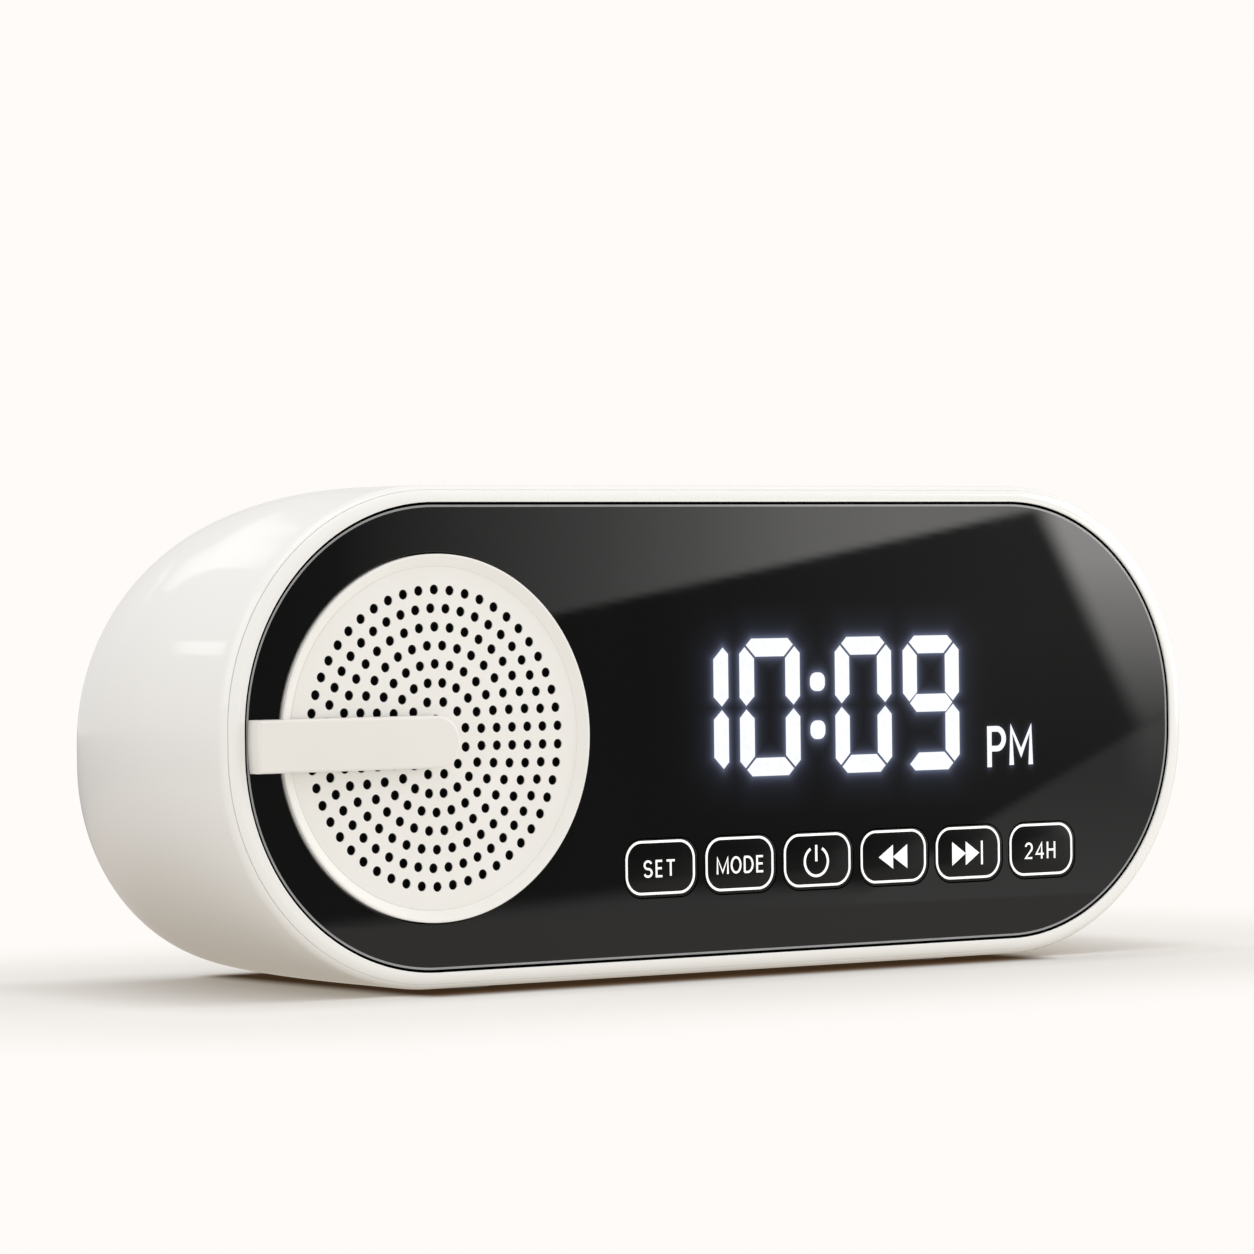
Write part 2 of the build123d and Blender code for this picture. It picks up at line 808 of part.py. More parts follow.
def speaker_basket():
    """The speaker's pressed steel frame, with ears, windows and a floor for the magnet."""
    inner = flange_inner
    foot = basket_floor - basket_wall
    outer_foot = basket_floor_radius + basket_wall
    neck = magnet_inner + basket_wall
    basket = speaker_turned([(inner, flange_depth), (flange_radius, flange_depth),
                             (flange_radius, flange_back), (inner + basket_wall, flange_back),
                             (outer_foot, basket_floor), (neck, basket_floor), (neck, foot),
                             (basket_floor_radius, foot)])
    for x, z in ring_places(ear_pitch_radius, ear_count, 45):
        basket += rod(x, z, ear_radius, flange_depth, flange_back)
    basket -= rod(grille_x, grille_z, inner, flange_depth - overrun, flange_back)
    for i in range(basket_window_count):
        middle = 360 * i / basket_window_count
        wedge = basket_wedge(middle, flange_back + overrun, foot - overrun)
        basket -= wedge
    for x, z in ring_places(ear_pitch_radius, ear_count, 45):
        basket -= rod(x, z, screw_radius + screw_hole_gap, flange_depth - overrun, flange_back + overrun)
    return basket


def basket_wedge(middle, start, end):
    """A wedge from the speaker's axis outwards, which cuts one window in the basket."""
    half = math.radians(basket_window_angle / 2)
    reach = flange_radius + overrun
    side = reach * math.tan(half)
    face = make_face(Polyline((0, 0), (reach, side), (reach, -side), close=True))
    return slab(Pos(grille_x, grille_z) * Rot(0, 0, middle) * face, start, end)


def roll_line(radius, base):
    """Points over the surround's half-round roll, from its outer foot to its inner foot."""
    middle = (surround_roll_outer + surround_roll_inner) / 2
    turns = [math.pi * i / roll_steps for i in range(roll_steps + 1)]
    return [(middle + radius * math.cos(turn), base - radius * math.sin(turn)) for turn in turns]


def speaker_surround():
    """The rubber roll between basket and cone: a flat outer ring, a half-round roll, an inner ring."""
    roll = (surround_roll_outer - surround_roll_inner) / 2
    back = flange_depth
    front = back - surround_thickness
    front_line = [(surround_outer, front)] + roll_line(roll, front) + [(surround_inner, front)]
    under = roll_line(roll - surround_thickness, back)
    back_line = [(surround_outer, back)] + under + [(surround_inner, back)]
    return speaker_turned(front_line + back_line[::-1])


def speaker_cone():
    """The paper cone, from its rim down to the voice coil."""
    top = flange_depth - surround_thickness
    neck = former_radius
    foot = top + cone_depth
    return speaker_turned([(cone_radius, top), (cone_radius, top + cone_wall), (neck + cone_wall, foot),
                           (neck, foot), (neck, foot - cone_wall), (cone_radius - cone_wall, top)])


def dust_cap():
    """The domed cap in the middle of the cone: a thin part of a ball."""
    slope = cone_depth / (cone_radius - former_radius)
    base = flange_depth - surround_thickness + (cone_radius - cone_wall - cap_radius) * slope - cone_wall
    ball = (cap_radius ** 2 + cap_height ** 2) / (2 * cap_height)
    middle = Pos(grille_x, glass_y + base - cap_height + ball, panel_z + grille_z)
    shell = middle * Sphere(ball) - middle * Sphere(ball - cap_wall)
    return shell & rod(grille_x, grille_z, ball, base - cap_height - overrun, base)


def coil_former():
    """The tube that joins the cone to the winding."""
    start = flange_depth - surround_thickness + cone_depth - cone_wall
    inner = former_radius - former_wall
    return speaker_turned([(inner, start), (former_radius, start), (former_radius, start + former_length),
                           (inner, start + former_length)])


def voice_coil():
    """The copper winding round the former's end, in the magnet's gap."""
    end = flange_depth - surround_thickness + cone_depth - cone_wall + former_length
    start = end - coil_length
    outer = former_radius + coil_thickness
    return speaker_turned([(former_radius, start), (outer, start), (outer, end), (former_radius, end)])


def speaker_spider():
    """The corrugated disc that centres the coil, glued to the basket's floor."""
    back = basket_floor - basket_wall
    inner = former_radius + coil_thickness + coil_run
    ledge = spider_outer - (spider_outer - inner) / (spider_ridges * 2)
    step = (ledge - inner) / (spider_ridges * 2)
    front_line = [(spider_outer, back - spider_thickness), (ledge, back - spider_thickness)]
    back_line = [(spider_outer, back), (ledge, back)]
    for i in range(1, spider_ridges * 2 + 1):
        lift = spider_ridge * (i % 2)
        front_line.append((ledge - step * i, back - spider_thickness - lift))
        back_line.append((ledge - step * i, back - lift))
    return speaker_turned(front_line + back_line[::-1])


def speaker_top_plate():
    """The steel washer in front of the magnet."""
    inner = former_radius + coil_thickness + coil_run
    return speaker_turned([(inner, basket_floor), (top_plate_radius, basket_floor),
                           (top_plate_radius, magnet_front), (inner, magnet_front)])


def speaker_magnet():
    """The ring magnet."""
    return speaker_turned([(magnet_inner, magnet_front), (magnet_radius, magnet_front),
                           (magnet_radius, magnet_back), (magnet_inner, magnet_back)])


def speaker_yoke():
    """The back plate with the pole that stands in the coil."""
    return speaker_turned([(0, basket_floor), (pole_radius, basket_floor), (pole_radius, magnet_back),
                           (yoke_radius, magnet_back), (yoke_radius, magnet_back + yoke_thickness),
                           (0, magnet_back + yoke_thickness)])


def terminal_left():
    """Where the terminal strip begins on the flange's right side."""
    return grille_x + flange_radius - terminal_depth


def speaker_terminals():
    """The strip on the flange where the speaker's leads are soldered."""
    left = terminal_left()
    half = terminal_width / 2
    return box(left, left + terminal_depth, flange_back, flange_back + terminal_thickness,
               grille_z - half, grille_z + half)


def speaker_screws():
    """Four screws through the speaker's ears."""
    length = flange_back - glass_seat - tape_thickness - snug_gap
    return Compound([screw(x, z, flange_back, length, screw_radius, screw_head_radius, screw_head_height)
                     for x, z in ring_places(ear_pitch_radius, ear_count, 45)])


def rear_cover():
    """The rear cover, with recessed screw heads and the two sockets' cut-outs."""
    cover = slab(rounded_section(rear_inset, cover_border + fit_gap), cover_face, casing_depth)
    cover = chamfer(cover.edges().group_by(Axis.Y)[-1], cover_edge)
    for x, z in cover_screw_places():
        cover -= rod(x, z, cover_screw_radius + screw_hole_gap, cover_face - overrun, casing_depth + overrun)
        cover -= rod(x, z, cover_screw_head + screw_hole_gap, casing_depth - cover_screw_head_height,
                     casing_depth + overrun)
    usb = rounded(usb_width + 2 * loose_gap, usb_height + 2 * loose_gap, usb_corner + loose_gap)
    usb_z = main_board_top + usb_height / 2
    cover -= slab(Pos(usb_x, usb_z) * usb, cover_face - overrun, casing_depth + overrun)
    card = Rectangle(card_slot_width + 2 * loose_gap, card_slot_height + 2 * loose_gap)
    card_z = main_board_top + card_height / 2
    return cover - slab(Pos(card_x, card_z) * card, cover_face - overrun, casing_depth + overrun)


def rear_cover_screws():
    """Four screws that hold the rear cover."""
    head = casing_depth - cover_screw_head_height
    length = cover_screw_reach + cover_thickness - cover_screw_head_height
    return Compound([screw(x, z, head, length, cover_screw_radius, cover_screw_head, cover_screw_head_height)
                     for x, z in cover_screw_places()])


def rubber_feet():
    """Four round rubber feet."""
    feet = []
    for x, depth in foot_places():
        foot = floor_slab(Pos(x, depth) * Circle(foot_radius), -panel_z, foot_thickness - panel_z)
        feet.append(chamfer(foot.edges().group_by(Axis.Z)[0], foot_edge))
    return Compound(feet)


def main_board():
    """The board with the amplifier, the radio and the sockets."""
    depth = main_board_rear - main_board_front
    middle = (main_board_x + main_board_width / 2, main_board_front + depth / 2)
    board = floor_slab(Pos(*middle) * rounded(main_board_width, depth, main_board_corner),
                       main_board_bottom, main_board_top)
    for place in post_places():
        hole = Pos(*place) * Circle(screw_radius + screw_hole_gap)
        board -= floor_slab(hole, main_board_bottom - overrun, main_board_top + overrun)
    return board


def main_board_screws():
    """Four screws, driven down through the main board into its posts."""
    screws = []
    for place in post_places():
        low = main_board_bottom - board_screw_grip
        shank = floor_slab(Pos(*place) * Circle(screw_radius), low, main_board_top)
        head = floor_slab(Pos(*place) * Circle(screw_head_radius), main_board_top,
                          main_board_top + screw_head_height)
        screws.append(shank + head)
    return Compound(screws)


def usb_socket():
    """The charging socket: a steel shell with a tongue."""
    z = main_board_top + usb_height / 2
    mouth = casing_depth - usb_recess
    shell = slab(Pos(usb_x, z) * rounded(usb_width, usb_height, usb_corner), mouth - usb_length, mouth)
    bore = rounded(usb_width - 2 * usb_wall, usb_height - 2 * usb_wall, usb_corner - usb_wall)
    shell -= slab(Pos(usb_x, z) * bore, mouth - usb_bore, mouth + overrun)
    tongue = Pos(usb_x, z) * Rectangle(usb_tongue_width, usb_tongue_height)
    return shell + slab(tongue, mouth - usb_length, mouth - usb_recess)


def card_socket():
    """The memory card socket, a flat steel box with a slot."""
    z = main_board_top + card_height / 2
    mouth = cover_face - snug_gap
    body = slab(Pos(card_x, z) * Rectangle(card_width, card_height), mouth - card_length, mouth)
    slot = Pos(card_x, z) * Rectangle(card_slot_width, card_slot_height)
    return body - slab(slot, mouth - card_length + overrun, mouth + overrun)


def board_block(x, front, width, length, height):
    """A plain block that stands on the main board."""
    return box(x, x + width, front, front + length, main_board_top, main_board_top + height)


def bluetooth_module():
    """The radio module under its shield."""
    return board_block(radio_x, radio_front, radio_width, radio_length, radio_height)


def amplifier_chip():
    """The amplifier chip, behind the inductor."""
    left = coil_block_x + (coil_block - chip_width) / 2
    return board_block(left, coil_block_front + coil_block + chip_gap, chip_width, chip_length, chip_height)


def power_inductor():
    """The charging circuit's inductor."""
    return board_block(coil_block_x, coil_block_front, coil_block, coil_block, coil_block_height)


def capacitors():
    """Two upright capacitors beside the card socket."""
    x = card_x + card_width / 2 + capacitor_gap + capacitor_radius
    return Compound([floor_slab(Pos(x, capacitor_front - capacitor_spacing * i)
                                * Circle(capacitor_radius), main_board_top, main_board_top + capacitor_height)
                     for i in (0, 1)])


def plug_lefts():
    """Left edges of the two wire plugs, one towards each end of the main board."""
    inset = post_inset * 2
    return main_board_x + inset, main_board_x + main_board_width - inset - plug_width


def wire_plugs():
    """The plugs of the speaker's cable and the battery's cable."""
    return Compound([board_block(x, plug_front, plug_width, plug_length, plug_height) for x in plug_lefts()])


def ribbon_sockets():
    """Two sockets for the ribbon cable: behind the front board and on the main board."""
    left = ribbon_x - ribbon_socket_width / 2
    right = ribbon_x + ribbon_socket_width / 2
    board_back = board_depth + board_thickness
    upper = box(left, right, board_back, board_back + ribbon_socket_height,
                ribbon_socket_top - ribbon_socket_length, ribbon_socket_top)
    lower = box(left, right, ribbon_socket_front, ribbon_socket_front + ribbon_socket_length,
                main_board_top, main_board_top + ribbon_socket_height)
    half = ribbon_width / 2 + fit_gap
    thick = ribbon_thickness / 2 + fit_gap
    depth = board_back + ribbon_socket_height / 2
    low = ribbon_socket_top - ribbon_socket_length
    upper -= box(ribbon_x - half, ribbon_x + half, depth - thick, depth + thick,
                 low - overrun, low + ribbon_hold + fit_gap)
    level = main_board_top + ribbon_socket_height / 2
    lower -= box(ribbon_x - half, ribbon_x + half, ribbon_socket_front - overrun,
                 ribbon_socket_front + ribbon_hold + fit_gap, level - thick, level + thick)
    return Compound([upper, lower])


def ribbon_cable():
    """The flat cable between the boards: down from one socket, round one bend, back into the other."""
    x = ribbon_x
    depth = board_depth + board_thickness + ribbon_socket_height / 2
    top = ribbon_socket_top - ribbon_socket_length + ribbon_hold
    level = main_board_top + ribbon_socket_height / 2
    points = [(x, glass_y + depth, panel_z + top), (x, glass_y + depth, panel_z + level),
              (x, glass_y + ribbon_socket_front + ribbon_hold, panel_z + level)]
    path = FilletPolyline(*points, radius=ribbon_bend)
    start = Plane(origin=points[0], x_dir=(1, 0, 0), z_dir=(0, 0, -1))
    return sweep(start * Rectangle(ribbon_width, ribbon_thickness), path)


def battery_cell():
    """The rechargeable cell, lying along the casing, with its raised contact at the right."""
    can = cell_rod(cell_radius, -cell_length / 2, cell_length / 2)
    can = chamfer(can.edges(), cell_edge)
    return can + cell_rod(cell_button_radius, 0, cell_length / 2 + cell_button_height)


def cell_rod(radius, start, end):
    """A round bar on the cell's axis, from start to end along x about the cell's middle."""
    plane = Plane(origin=(cell_x + start, glass_y + cell_depth, panel_z + cell_z),
                  x_dir=(0, 1, 0), z_dir=(1, 0, 0))
    return extrude(plane * Circle(radius), amount=end - start)


def battery_holder():
    """A base plate with two open clips that the cell snaps into."""
    base_back = cover_face - holder_tape
    half_length = (holder_clip_spacing + holder_clip_width) / 2
    half_height = holder_base_height / 2
    holder = box(cell_x - half_length, cell_x + half_length, base_back - holder_base, base_back,
                 cell_z - half_height, cell_z + half_height)
    inner = cell_radius + holder_gap
    outer = inner + holder_wall
    for side in (-1, 1):
        middle = side * holder_clip_spacing / 2
        start = middle - holder_clip_width / 2
        end = middle + holder_clip_width / 2
        holder += cell_rod(outer, start, end) - clip_mouth(start - overrun, end + overrun, outer + overrun)
    return holder - cell_rod(inner, -cell_length, cell_length)


def clip_mouth(start, end, reach):
    """The wedge that opens a clip towards the front."""
    half = math.radians(holder_mouth_angle / 2)
    side = reach * math.tan(half)
    face = make_face(Polyline((0, 0), (-reach, side), (-reach, -side), close=True))
    plane = Plane(origin=(cell_x + start, glass_y + cell_depth, panel_z + cell_z),
                  x_dir=(0, 1, 0), z_dir=(1, 0, 0))
    return extrude(plane * face, amount=end - start)


def battery_tape():
    """The foam tape that fixes the holder to the rear cover."""
    half_length = (holder_clip_spacing + holder_clip_width) / 2 - holder_tape_margin
    half_height = holder_base_height / 2 - holder_tape_margin
    return box(cell_x - half_length, cell_x + half_length, cover_face - holder_tape, cover_face,
               cell_z - half_height, cell_z + half_height)


def cable(route):
    """A round cable along straight runs joined by tangent arcs, as large as the runs allow."""
    points = [Vector(x, glass_y + depth, panel_z + z) for x, depth, z in route]
    runs = [b - a for a, b in zip(points, points[1:])]
    radii = []
    for before, after in zip(runs, runs[1:]):
        half_turn = math.radians(before.get_angle(after) / 2)
        radii.append(bend_share * min(before.length, after.length) / math.tan(half_turn))
    path = FilletPolyline(*points, radius=radii)
    tube = sweep(Plane(origin=points[0], z_dir=runs[0]) * Circle(cable_radius), path)
    expected = math.pi * cable_radius ** 2 * path.length
    print("cable radii", [round(r, 1) for r in radii])
    print("cable volume", round(tube.volume), "expected", round(expected))
    return tube


def speaker_cable():
    """The cable from the speaker's terminals to the main board."""
    return cable(speaker_route)


def battery_cable():
    """The cable from the cell to the main board."""
    return cable(battery_route)


PARTS = {
    "casing_shell": casing_shell,
    "front_frame": front_frame,
    "front_panel": front_panel,
    "panel_tape": panel_tape,
    "speaker_grille": speaker_grille,
    "grille_cloth": grille_cloth,
    "trim_bar": trim_bar,
    "switch_housings": switch_housings,
    "front_board": front_board,
    "front_board_screws": front_board_screws,
    "display_segments": display_segments,
    "display_housing": display_housing,
    "indicator_lens": indicator_lens,
    "display_film": display_film,
    "speaker_gasket": speaker_gasket,
    "speaker_basket": speaker_basket,
    "speaker_surround": speaker_surround,
    "speaker_cone": speaker_cone,
    "dust_cap": dust_cap,
    "coil_former": coil_former,
    "voice_coil": voice_coil,
    "speaker_spider": speaker_spider,
    "speaker_top_plate": speaker_top_plate,
    "speaker_magnet": speaker_magnet,
    "speaker_yoke": speaker_yoke,
    "speaker_terminals": speaker_terminals,
    "speaker_screws": speaker_screws,
    "rear_cover": rear_cover,
    "rear_cover_screws": rear_cover_screws,
    "rubber_feet": rubber_feet,
    "main_board": main_board,
    "main_board_screws": main_board_screws,
    "usb_socket": usb_socket,
    "card_socket": card_socket,
    "bluetooth_module": bluetooth_module,
    "amplifier_chip": amplifier_chip,
    "power_inductor": power_inductor,
    "capacitors": capacitors,
    "wire_plugs": wire_plugs,
    "ribbon_sockets": ribbon_sockets,
    "ribbon_cable": ribbon_cable,
    "battery_cell": battery_cell,
    "battery_holder": battery_holder,
    "battery_tape": battery_tape,
    "speaker_cable": speaker_cable,
    "battery_cable": battery_cable,
}

for node, build in PARTS.items():
    export_step(build(), f"parts/{node}.step")
for name, x in zip(key_names, key_xs):
    export_step(key_cap(x), f"parts/key_{name}.step")
    export_step(switch_plunger(x), f"parts/plunger_{name}.step")
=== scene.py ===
"""Looks of the speaker clock: white glossy casing, black mirror-like panel, perforated grille with a bar,
lit digits and six keys with white outlines, on a pale studio floor.

Sizes are in millimetres. A place is (x, depth, z): x to the right and z up from the panel's centre, and
depth inwards from the panel's face.
"""
import bpy
import numpy as np
from mathutils import Matrix, Vector
from mathutils.geometry import tessellate_polygon


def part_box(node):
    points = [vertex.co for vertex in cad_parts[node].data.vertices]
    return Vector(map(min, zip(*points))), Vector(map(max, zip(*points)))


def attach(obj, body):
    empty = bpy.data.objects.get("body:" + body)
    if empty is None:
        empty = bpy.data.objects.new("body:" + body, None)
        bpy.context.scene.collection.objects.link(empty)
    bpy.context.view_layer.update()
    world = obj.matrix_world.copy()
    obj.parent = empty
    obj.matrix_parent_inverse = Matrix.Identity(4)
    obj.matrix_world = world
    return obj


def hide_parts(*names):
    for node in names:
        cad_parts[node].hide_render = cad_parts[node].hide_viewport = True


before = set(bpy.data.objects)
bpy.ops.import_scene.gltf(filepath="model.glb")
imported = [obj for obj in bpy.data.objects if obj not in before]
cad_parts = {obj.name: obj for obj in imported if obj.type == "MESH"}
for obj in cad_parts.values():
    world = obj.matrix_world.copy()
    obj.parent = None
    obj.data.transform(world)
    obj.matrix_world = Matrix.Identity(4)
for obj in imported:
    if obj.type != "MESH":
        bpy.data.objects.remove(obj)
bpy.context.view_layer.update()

MM = 0.001

# Camera: place from the panel's centre, turn, and focal length in pixels of the square photograph
camera_place = (-435.0, -586.7, 18.6)
camera_yaw = np.radians(35.45)
camera_pitch = np.radians(0.39)
camera_roll = np.radians(0.67)
camera_focal = 5495.0
picture_side = 1254
sensor_width = 36.0

# Casing and rim
end_flat = 2.8
casing_wall = 2.4
round_depth = 36.0
rear_inset = 9.5
underside_share = 0.12
cover_border = 5.0
cover_seat = 3.0
cover_thickness = 2.0
seat_thickness = 1.6
recess_round = 0.2
rim_side = 2.9
rim_top = 2.3
rim_proud = 0.3
rim_round = 2.0
rim_inner_round = 0.12
rim_wall_room = 0.1
seam_angle = np.radians(44.4)
seam_width = 0.03
seam_lip = 0.14
seam_depth = 0.16
groove_step = (0.3, 0.2)
front_wall = 1.3
front_wall_start = 0.6
skirt_start = 0.1
skirt_end = 6.0
skirt_inset = 1.45
skirt_inner = 3.95
skirt_room = 0.3
wall_step = 0.2
rim_seat_depth = 2.25
rim_seat_width = 3.0
rim_seat_flange = 1.0

# Panel
glass_thickness = 2.0
glass_gap = 0.26
# Width of the grey band along the panel's edge, a painted highlight
edge_highlight_width = 0.28
grille_gap = 0.2
hole_chamfer = 0.12

# Grille: dish with rings of holes
grille_x = -47.35
grille_z = -0.13
grille_radius = 23.6
grille_proud = 0.5
grille_rim_flat = 0.3
grille_rim_slope = 1.2
slope_ends = (0.06, 0.94)
slope_groove = [(0.14, 0), (0.09, 0.06), (0.03, 0.06), (0, 0)]
grille_floor = 0.2
grille_plate = 1.2
grille_edge = 0.12
grille_flange = 2.3
hole_radius = 0.64
hole_flare = 0.05
hole_pale_depth = 0.16
ring_pitch = 2.378
ring_counts = [6, 12, 20, 26, 32, 38, 45, 50]

# Bar over the grille
bar_proud = 2.6
bar_height = 6.7
bar_right = -45.35
bar_drop = 0.4
bar_round = 0.45
bar_gap = 0.45
bar_back = -0.02

# Keys and their legends
key_names = ["set", "mode", "power", "rewind", "forward", "24h"]
key_pitch = 13.0
first_key_x = -12.2
key_middles = {name: first_key_x + key_pitch * i for i, name in enumerate(key_names)}
key_row_z = -18.1
key_width = 11.8
key_height = 7.7
key_corner = 2.8
key_gap = 0.15
key_edge = 0.12
cap_depths = (2.05, 3.0)
outline_width = 0.33
outline_inset = 0.28
print_shift = (-0.15, 0.1)
sign_shift = (-0.27, 0.05)
print_thickness = 0.03
print_step = 0.002
letter_stroke = 0.29
letter_gap = 0.62
legend_low = -19.22
legend_high = -17.2
legend_words = {"set": ("SET", -14.75, -9.75, (0.95, 0.8, 0.95)),
                "mode": ("MODE", -2.75, 4.9, (1.15, 1.0, 0.95, 0.8)),
                "24h": ("24H", 50.05, 55.4, (0.9, 0.95, 0.95))}
power_shift = (-0.05, -0.1)
power_radius = 1.95
power_opening = (120, 420)
power_stem_top = 2.1
power_stroke = 0.36
arrow_spans = {"rewind": (24.4, 29.3, -1), "forward": (37.15, 41.9, 1)}
arrow_half = 1.62
arrow_rise = 0.02
stop_x = 42.1
stop_ends = (1.65, -1.6)
stop_stroke = 0.32

# Display
digit_height = 18.35
digit_z = 2.7
digits = [("1", -11.2, 10.3), ("0", 0.97, 10.06), ("0", 16.99, 9.62), ("9", 28.63, 9.74)]
stroke = 2.42
corner_cut = 2.0
mitre_gap = 0.34
point_rise = 1.13
waist_gap = 0.25
waist_inset = 1.2
waist_point_share = 0.45
inner_point_share = 1.1
colon_x = 14.0
colon_size = 2.5
colon_spacing = 6.45
colon_corner = 1.0
light_height = 0.03
light_lift = 0.01
pm_low = -6.2
pm_high = -1.15
pm_stroke = 0.78
pm_first = (43.65, 2.6)
pm_second = (47.57, 49.27, 50.97)
pm_valley_share = 0.32
glow_field = ((-15.0, 57.0), (-12.5, 17.5))
glow_step = 0.25
glow_border = 2.0
glow_lift = 0.004
digit_glows = [(0.22, 0.35), (0.045, 1.6)]
pm_glow = (0.12, 0.3)

# Steps of a quarter arc, the angle past which an edge is sharp, the part of a noise that is used, and the
# relief of cloth
arc_steps = 40
smooth_angle = np.radians(24)
noise_low = 0.3
noise_high = 0.7
cloth_relief = 0.05

# Studio: distances are in metres, apart from floor_half and front_fade
card_distance = 0.15
lamp_distance = 1.3
lamp_side = 1.0
lamp_aim = (0, 0, 0.03)
lamps = {"left": ((-0.85, -0.1, 0.5), 2.5), "right": ((0.9, -0.3, 0.3), 7.2), "top": ((-0.1, -0.1, 1.0), 3.7)}
world_level = 0.8
paper_white = "#fffbf8"
felt_white = "#fbfaf9"
floor_half = 3000.0
# The floor's tones: the glow that it sends back to the clock, a dark brown contact shadow painted into the
# matt colour round the clock's foot, and the paper's own tone
floor_tones = {"under": "#b5aca0", "side": "#cbc3bc", "front": "#fffcf6", "mirrored": "#d6d2cd",
               "far": "#aaaaab", "horizon": "#e7e7e7", "contact": "#5d4a38", "paper": "#e3e0dc"}
# Each blended tone of the floor: the fade that leads from a first tone to a second
floor_blends = {"beside": ("side", "under", "side"), "around": ("far", "beside", "far"),
                "distant": ("horizon", "around", "horizon"), "before": ("glossy", "front", "mirrored"),
                "felt": ("before", "distant", "before"), "matt": ("contact", "contact", "paper")}
floor_fades = {"seen": (0.02, 0.08), "side": (0.0, 0.05), "far": (0.06, 0.25), "horizon": (0.4, 3.0),
               "paper": (0.0, 0.015)}
front_fade = (1.0, -4.0)
# How far from the clock's foot the painted contact shadow fades into the paper tone, in metres
contact_fade = (0.0, 0.007)
paper_share = 0.33


def linear(hex_colour):
    """A colour written as sRGB hex, turned linear, with full opacity."""
    srgb = np.array([int(hex_colour[i:i + 2], 16) for i in (1, 3, 5)]) / 255
    values = np.where(srgb <= 0.04045, srgb / 12.92, ((srgb + 0.055) / 1.055) ** 2.4)
    return (*values.tolist(), 1.0)


# The frame's own places
panel_low, panel_high = (np.array(corner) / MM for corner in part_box("front_panel"))
frame_low, frame_high = (np.array(corner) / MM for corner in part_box("front_frame"))
shell_high = np.array(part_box("casing_shell")[1]) / MM
glass_y = panel_low[1]
panel_z = (panel_low[2] + panel_high[2]) / 2
casing_width = frame_high[0] - frame_low[0]
casing_height = frame_high[2] - frame_low[2]
casing_depth = shell_high[1] - glass_y
corner_radius = (casing_height - end_flat) / 2
opening_width = casing_width - 2 * rim_side
opening_height = casing_height - 2 * rim_top


def placed(flat, depth):
    """Points (x, z) set at a depth, in the part's own frame."""
    flat = np.asarray(flat, float)
    depths = np.broadcast_to(depth, len(flat))
    return np.stack([flat[:, 0], glass_y + depths, panel_z + flat[:, 1]], 1)


# Outlines, as seen from the front and anticlockwise

def round_box(width, height, radius, middle=(0, 0), steps=arc_steps):
    """Points round a rectangle with round corners: four quarter circles set at its corners' centres."""
    turn = np.linspace(0, np.pi / 2, steps + 1)
    arc = radius * np.stack([np.cos(turn), np.sin(turn)], 1)
    centre = np.array([width / 2 - radius, height / 2 - radius])
    quarters = [arc + centre, arc[::-1] * (-1, 1) + centre * (-1, 1),
                -arc - centre, arc[::-1] * (1, -1) + centre * (1, -1)]
    return np.concatenate(quarters) + middle


def circle(radius, middle, count):
    """Points round a circle."""
    turn = 2 * np.pi * np.arange(count) / count
    return radius * np.stack([np.cos(turn), np.sin(turn)], 1) + middle


def casing_outline(drawn_in, wall=0.0):
    """The casing's outline where the rounding has drawn it in: the underside rises by a share of that."""
    rise = drawn_in * underside_share
    width = casing_width - 2 * (drawn_in + wall)
    height = casing_height - drawn_in - rise - 2 * wall
    radius = corner_radius - (drawn_in + rise) / 2 - wall
    return round_box(width, height, radius, (0, (rise - drawn_in) / 2))


def rim_outline(inset):
    """The outline of the whole front, drawn in by an inset."""
    return round_box(casing_width - 2 * inset, casing_height - 2 * inset, corner_radius - inset)


def opening_outline(inset):
    """The outline of the rim's opening, drawn in by an inset."""
    return round_box(opening_width - 2 * inset, opening_height - 2 * inset, corner_radius - rim_top - inset)


def key_outline(x, inset):
    """A key's outline, drawn in by an inset."""
    return round_box(key_width - 2 * inset, key_height - 2 * inset, key_corner - inset, (x, key_row_z), 12)


# Meshes

def add_to_scene(name, data):
    """An object with this data, in the scene."""
    thing = bpy.data.objects.new(name, data)
    bpy.context.scene.collection.objects.link(thing)
    return thing


def new_piece(name, points, faces, material, body, flat=(), slots=()):
    """A mesh piece from points in millimetres and arrays of corner numbers, riding on a body.

    flat says for each array whether its faces are flat, and slots which material it takes."""
    mesh = bpy.data.meshes.new(name)
    corners = np.concatenate([part.ravel() for part in faces])
    sizes = np.concatenate([np.full(len(part), part.shape[1]) for part in faces])
    mesh.vertices.add(len(points))
    mesh.vertices.foreach_set("co", (np.asarray(points) * MM).astype(np.float32).ravel())
    mesh.loops.add(len(corners))
    mesh.loops.foreach_set("vertex_index", corners.astype(np.int32))
    mesh.polygons.add(len(sizes))
    mesh.polygons.foreach_set("loop_start", np.concatenate([[0], np.cumsum(sizes)[:-1]]).astype(np.int32))
    flat = list(flat) + [False] * (len(faces) - len(flat))
    slots = list(slots) + [0] * (len(faces) - len(slots))
    smooth = np.concatenate([np.full(len(part), not state) for part, state in zip(faces, flat)])
    numbers = np.concatenate([np.full(len(part), number) for part, number in zip(faces, slots)])
    mesh.polygons.foreach_set("use_smooth", smooth)
    mesh.update(calc_edges=True)
    mesh.set_sharp_from_angle(angle=smooth_angle)
    for one in material if isinstance(material, list) else [material]:
        mesh.materials.append(one)
    mesh.polygons.foreach_set("material_index", numbers.astype(np.int32))
    piece = add_to_scene(name, mesh)
    if body:
        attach(piece, body)
    return piece


def grid_quads(rows, columns):
    """Quads of a grid whose points run along its rows."""
    number = np.arange(rows * columns).reshape(rows, columns)
    return np.stack([number[:-1, :-1], number[:-1, 1:], number[1:, 1:], number[1:, :-1]], 2).reshape(-1, 4)


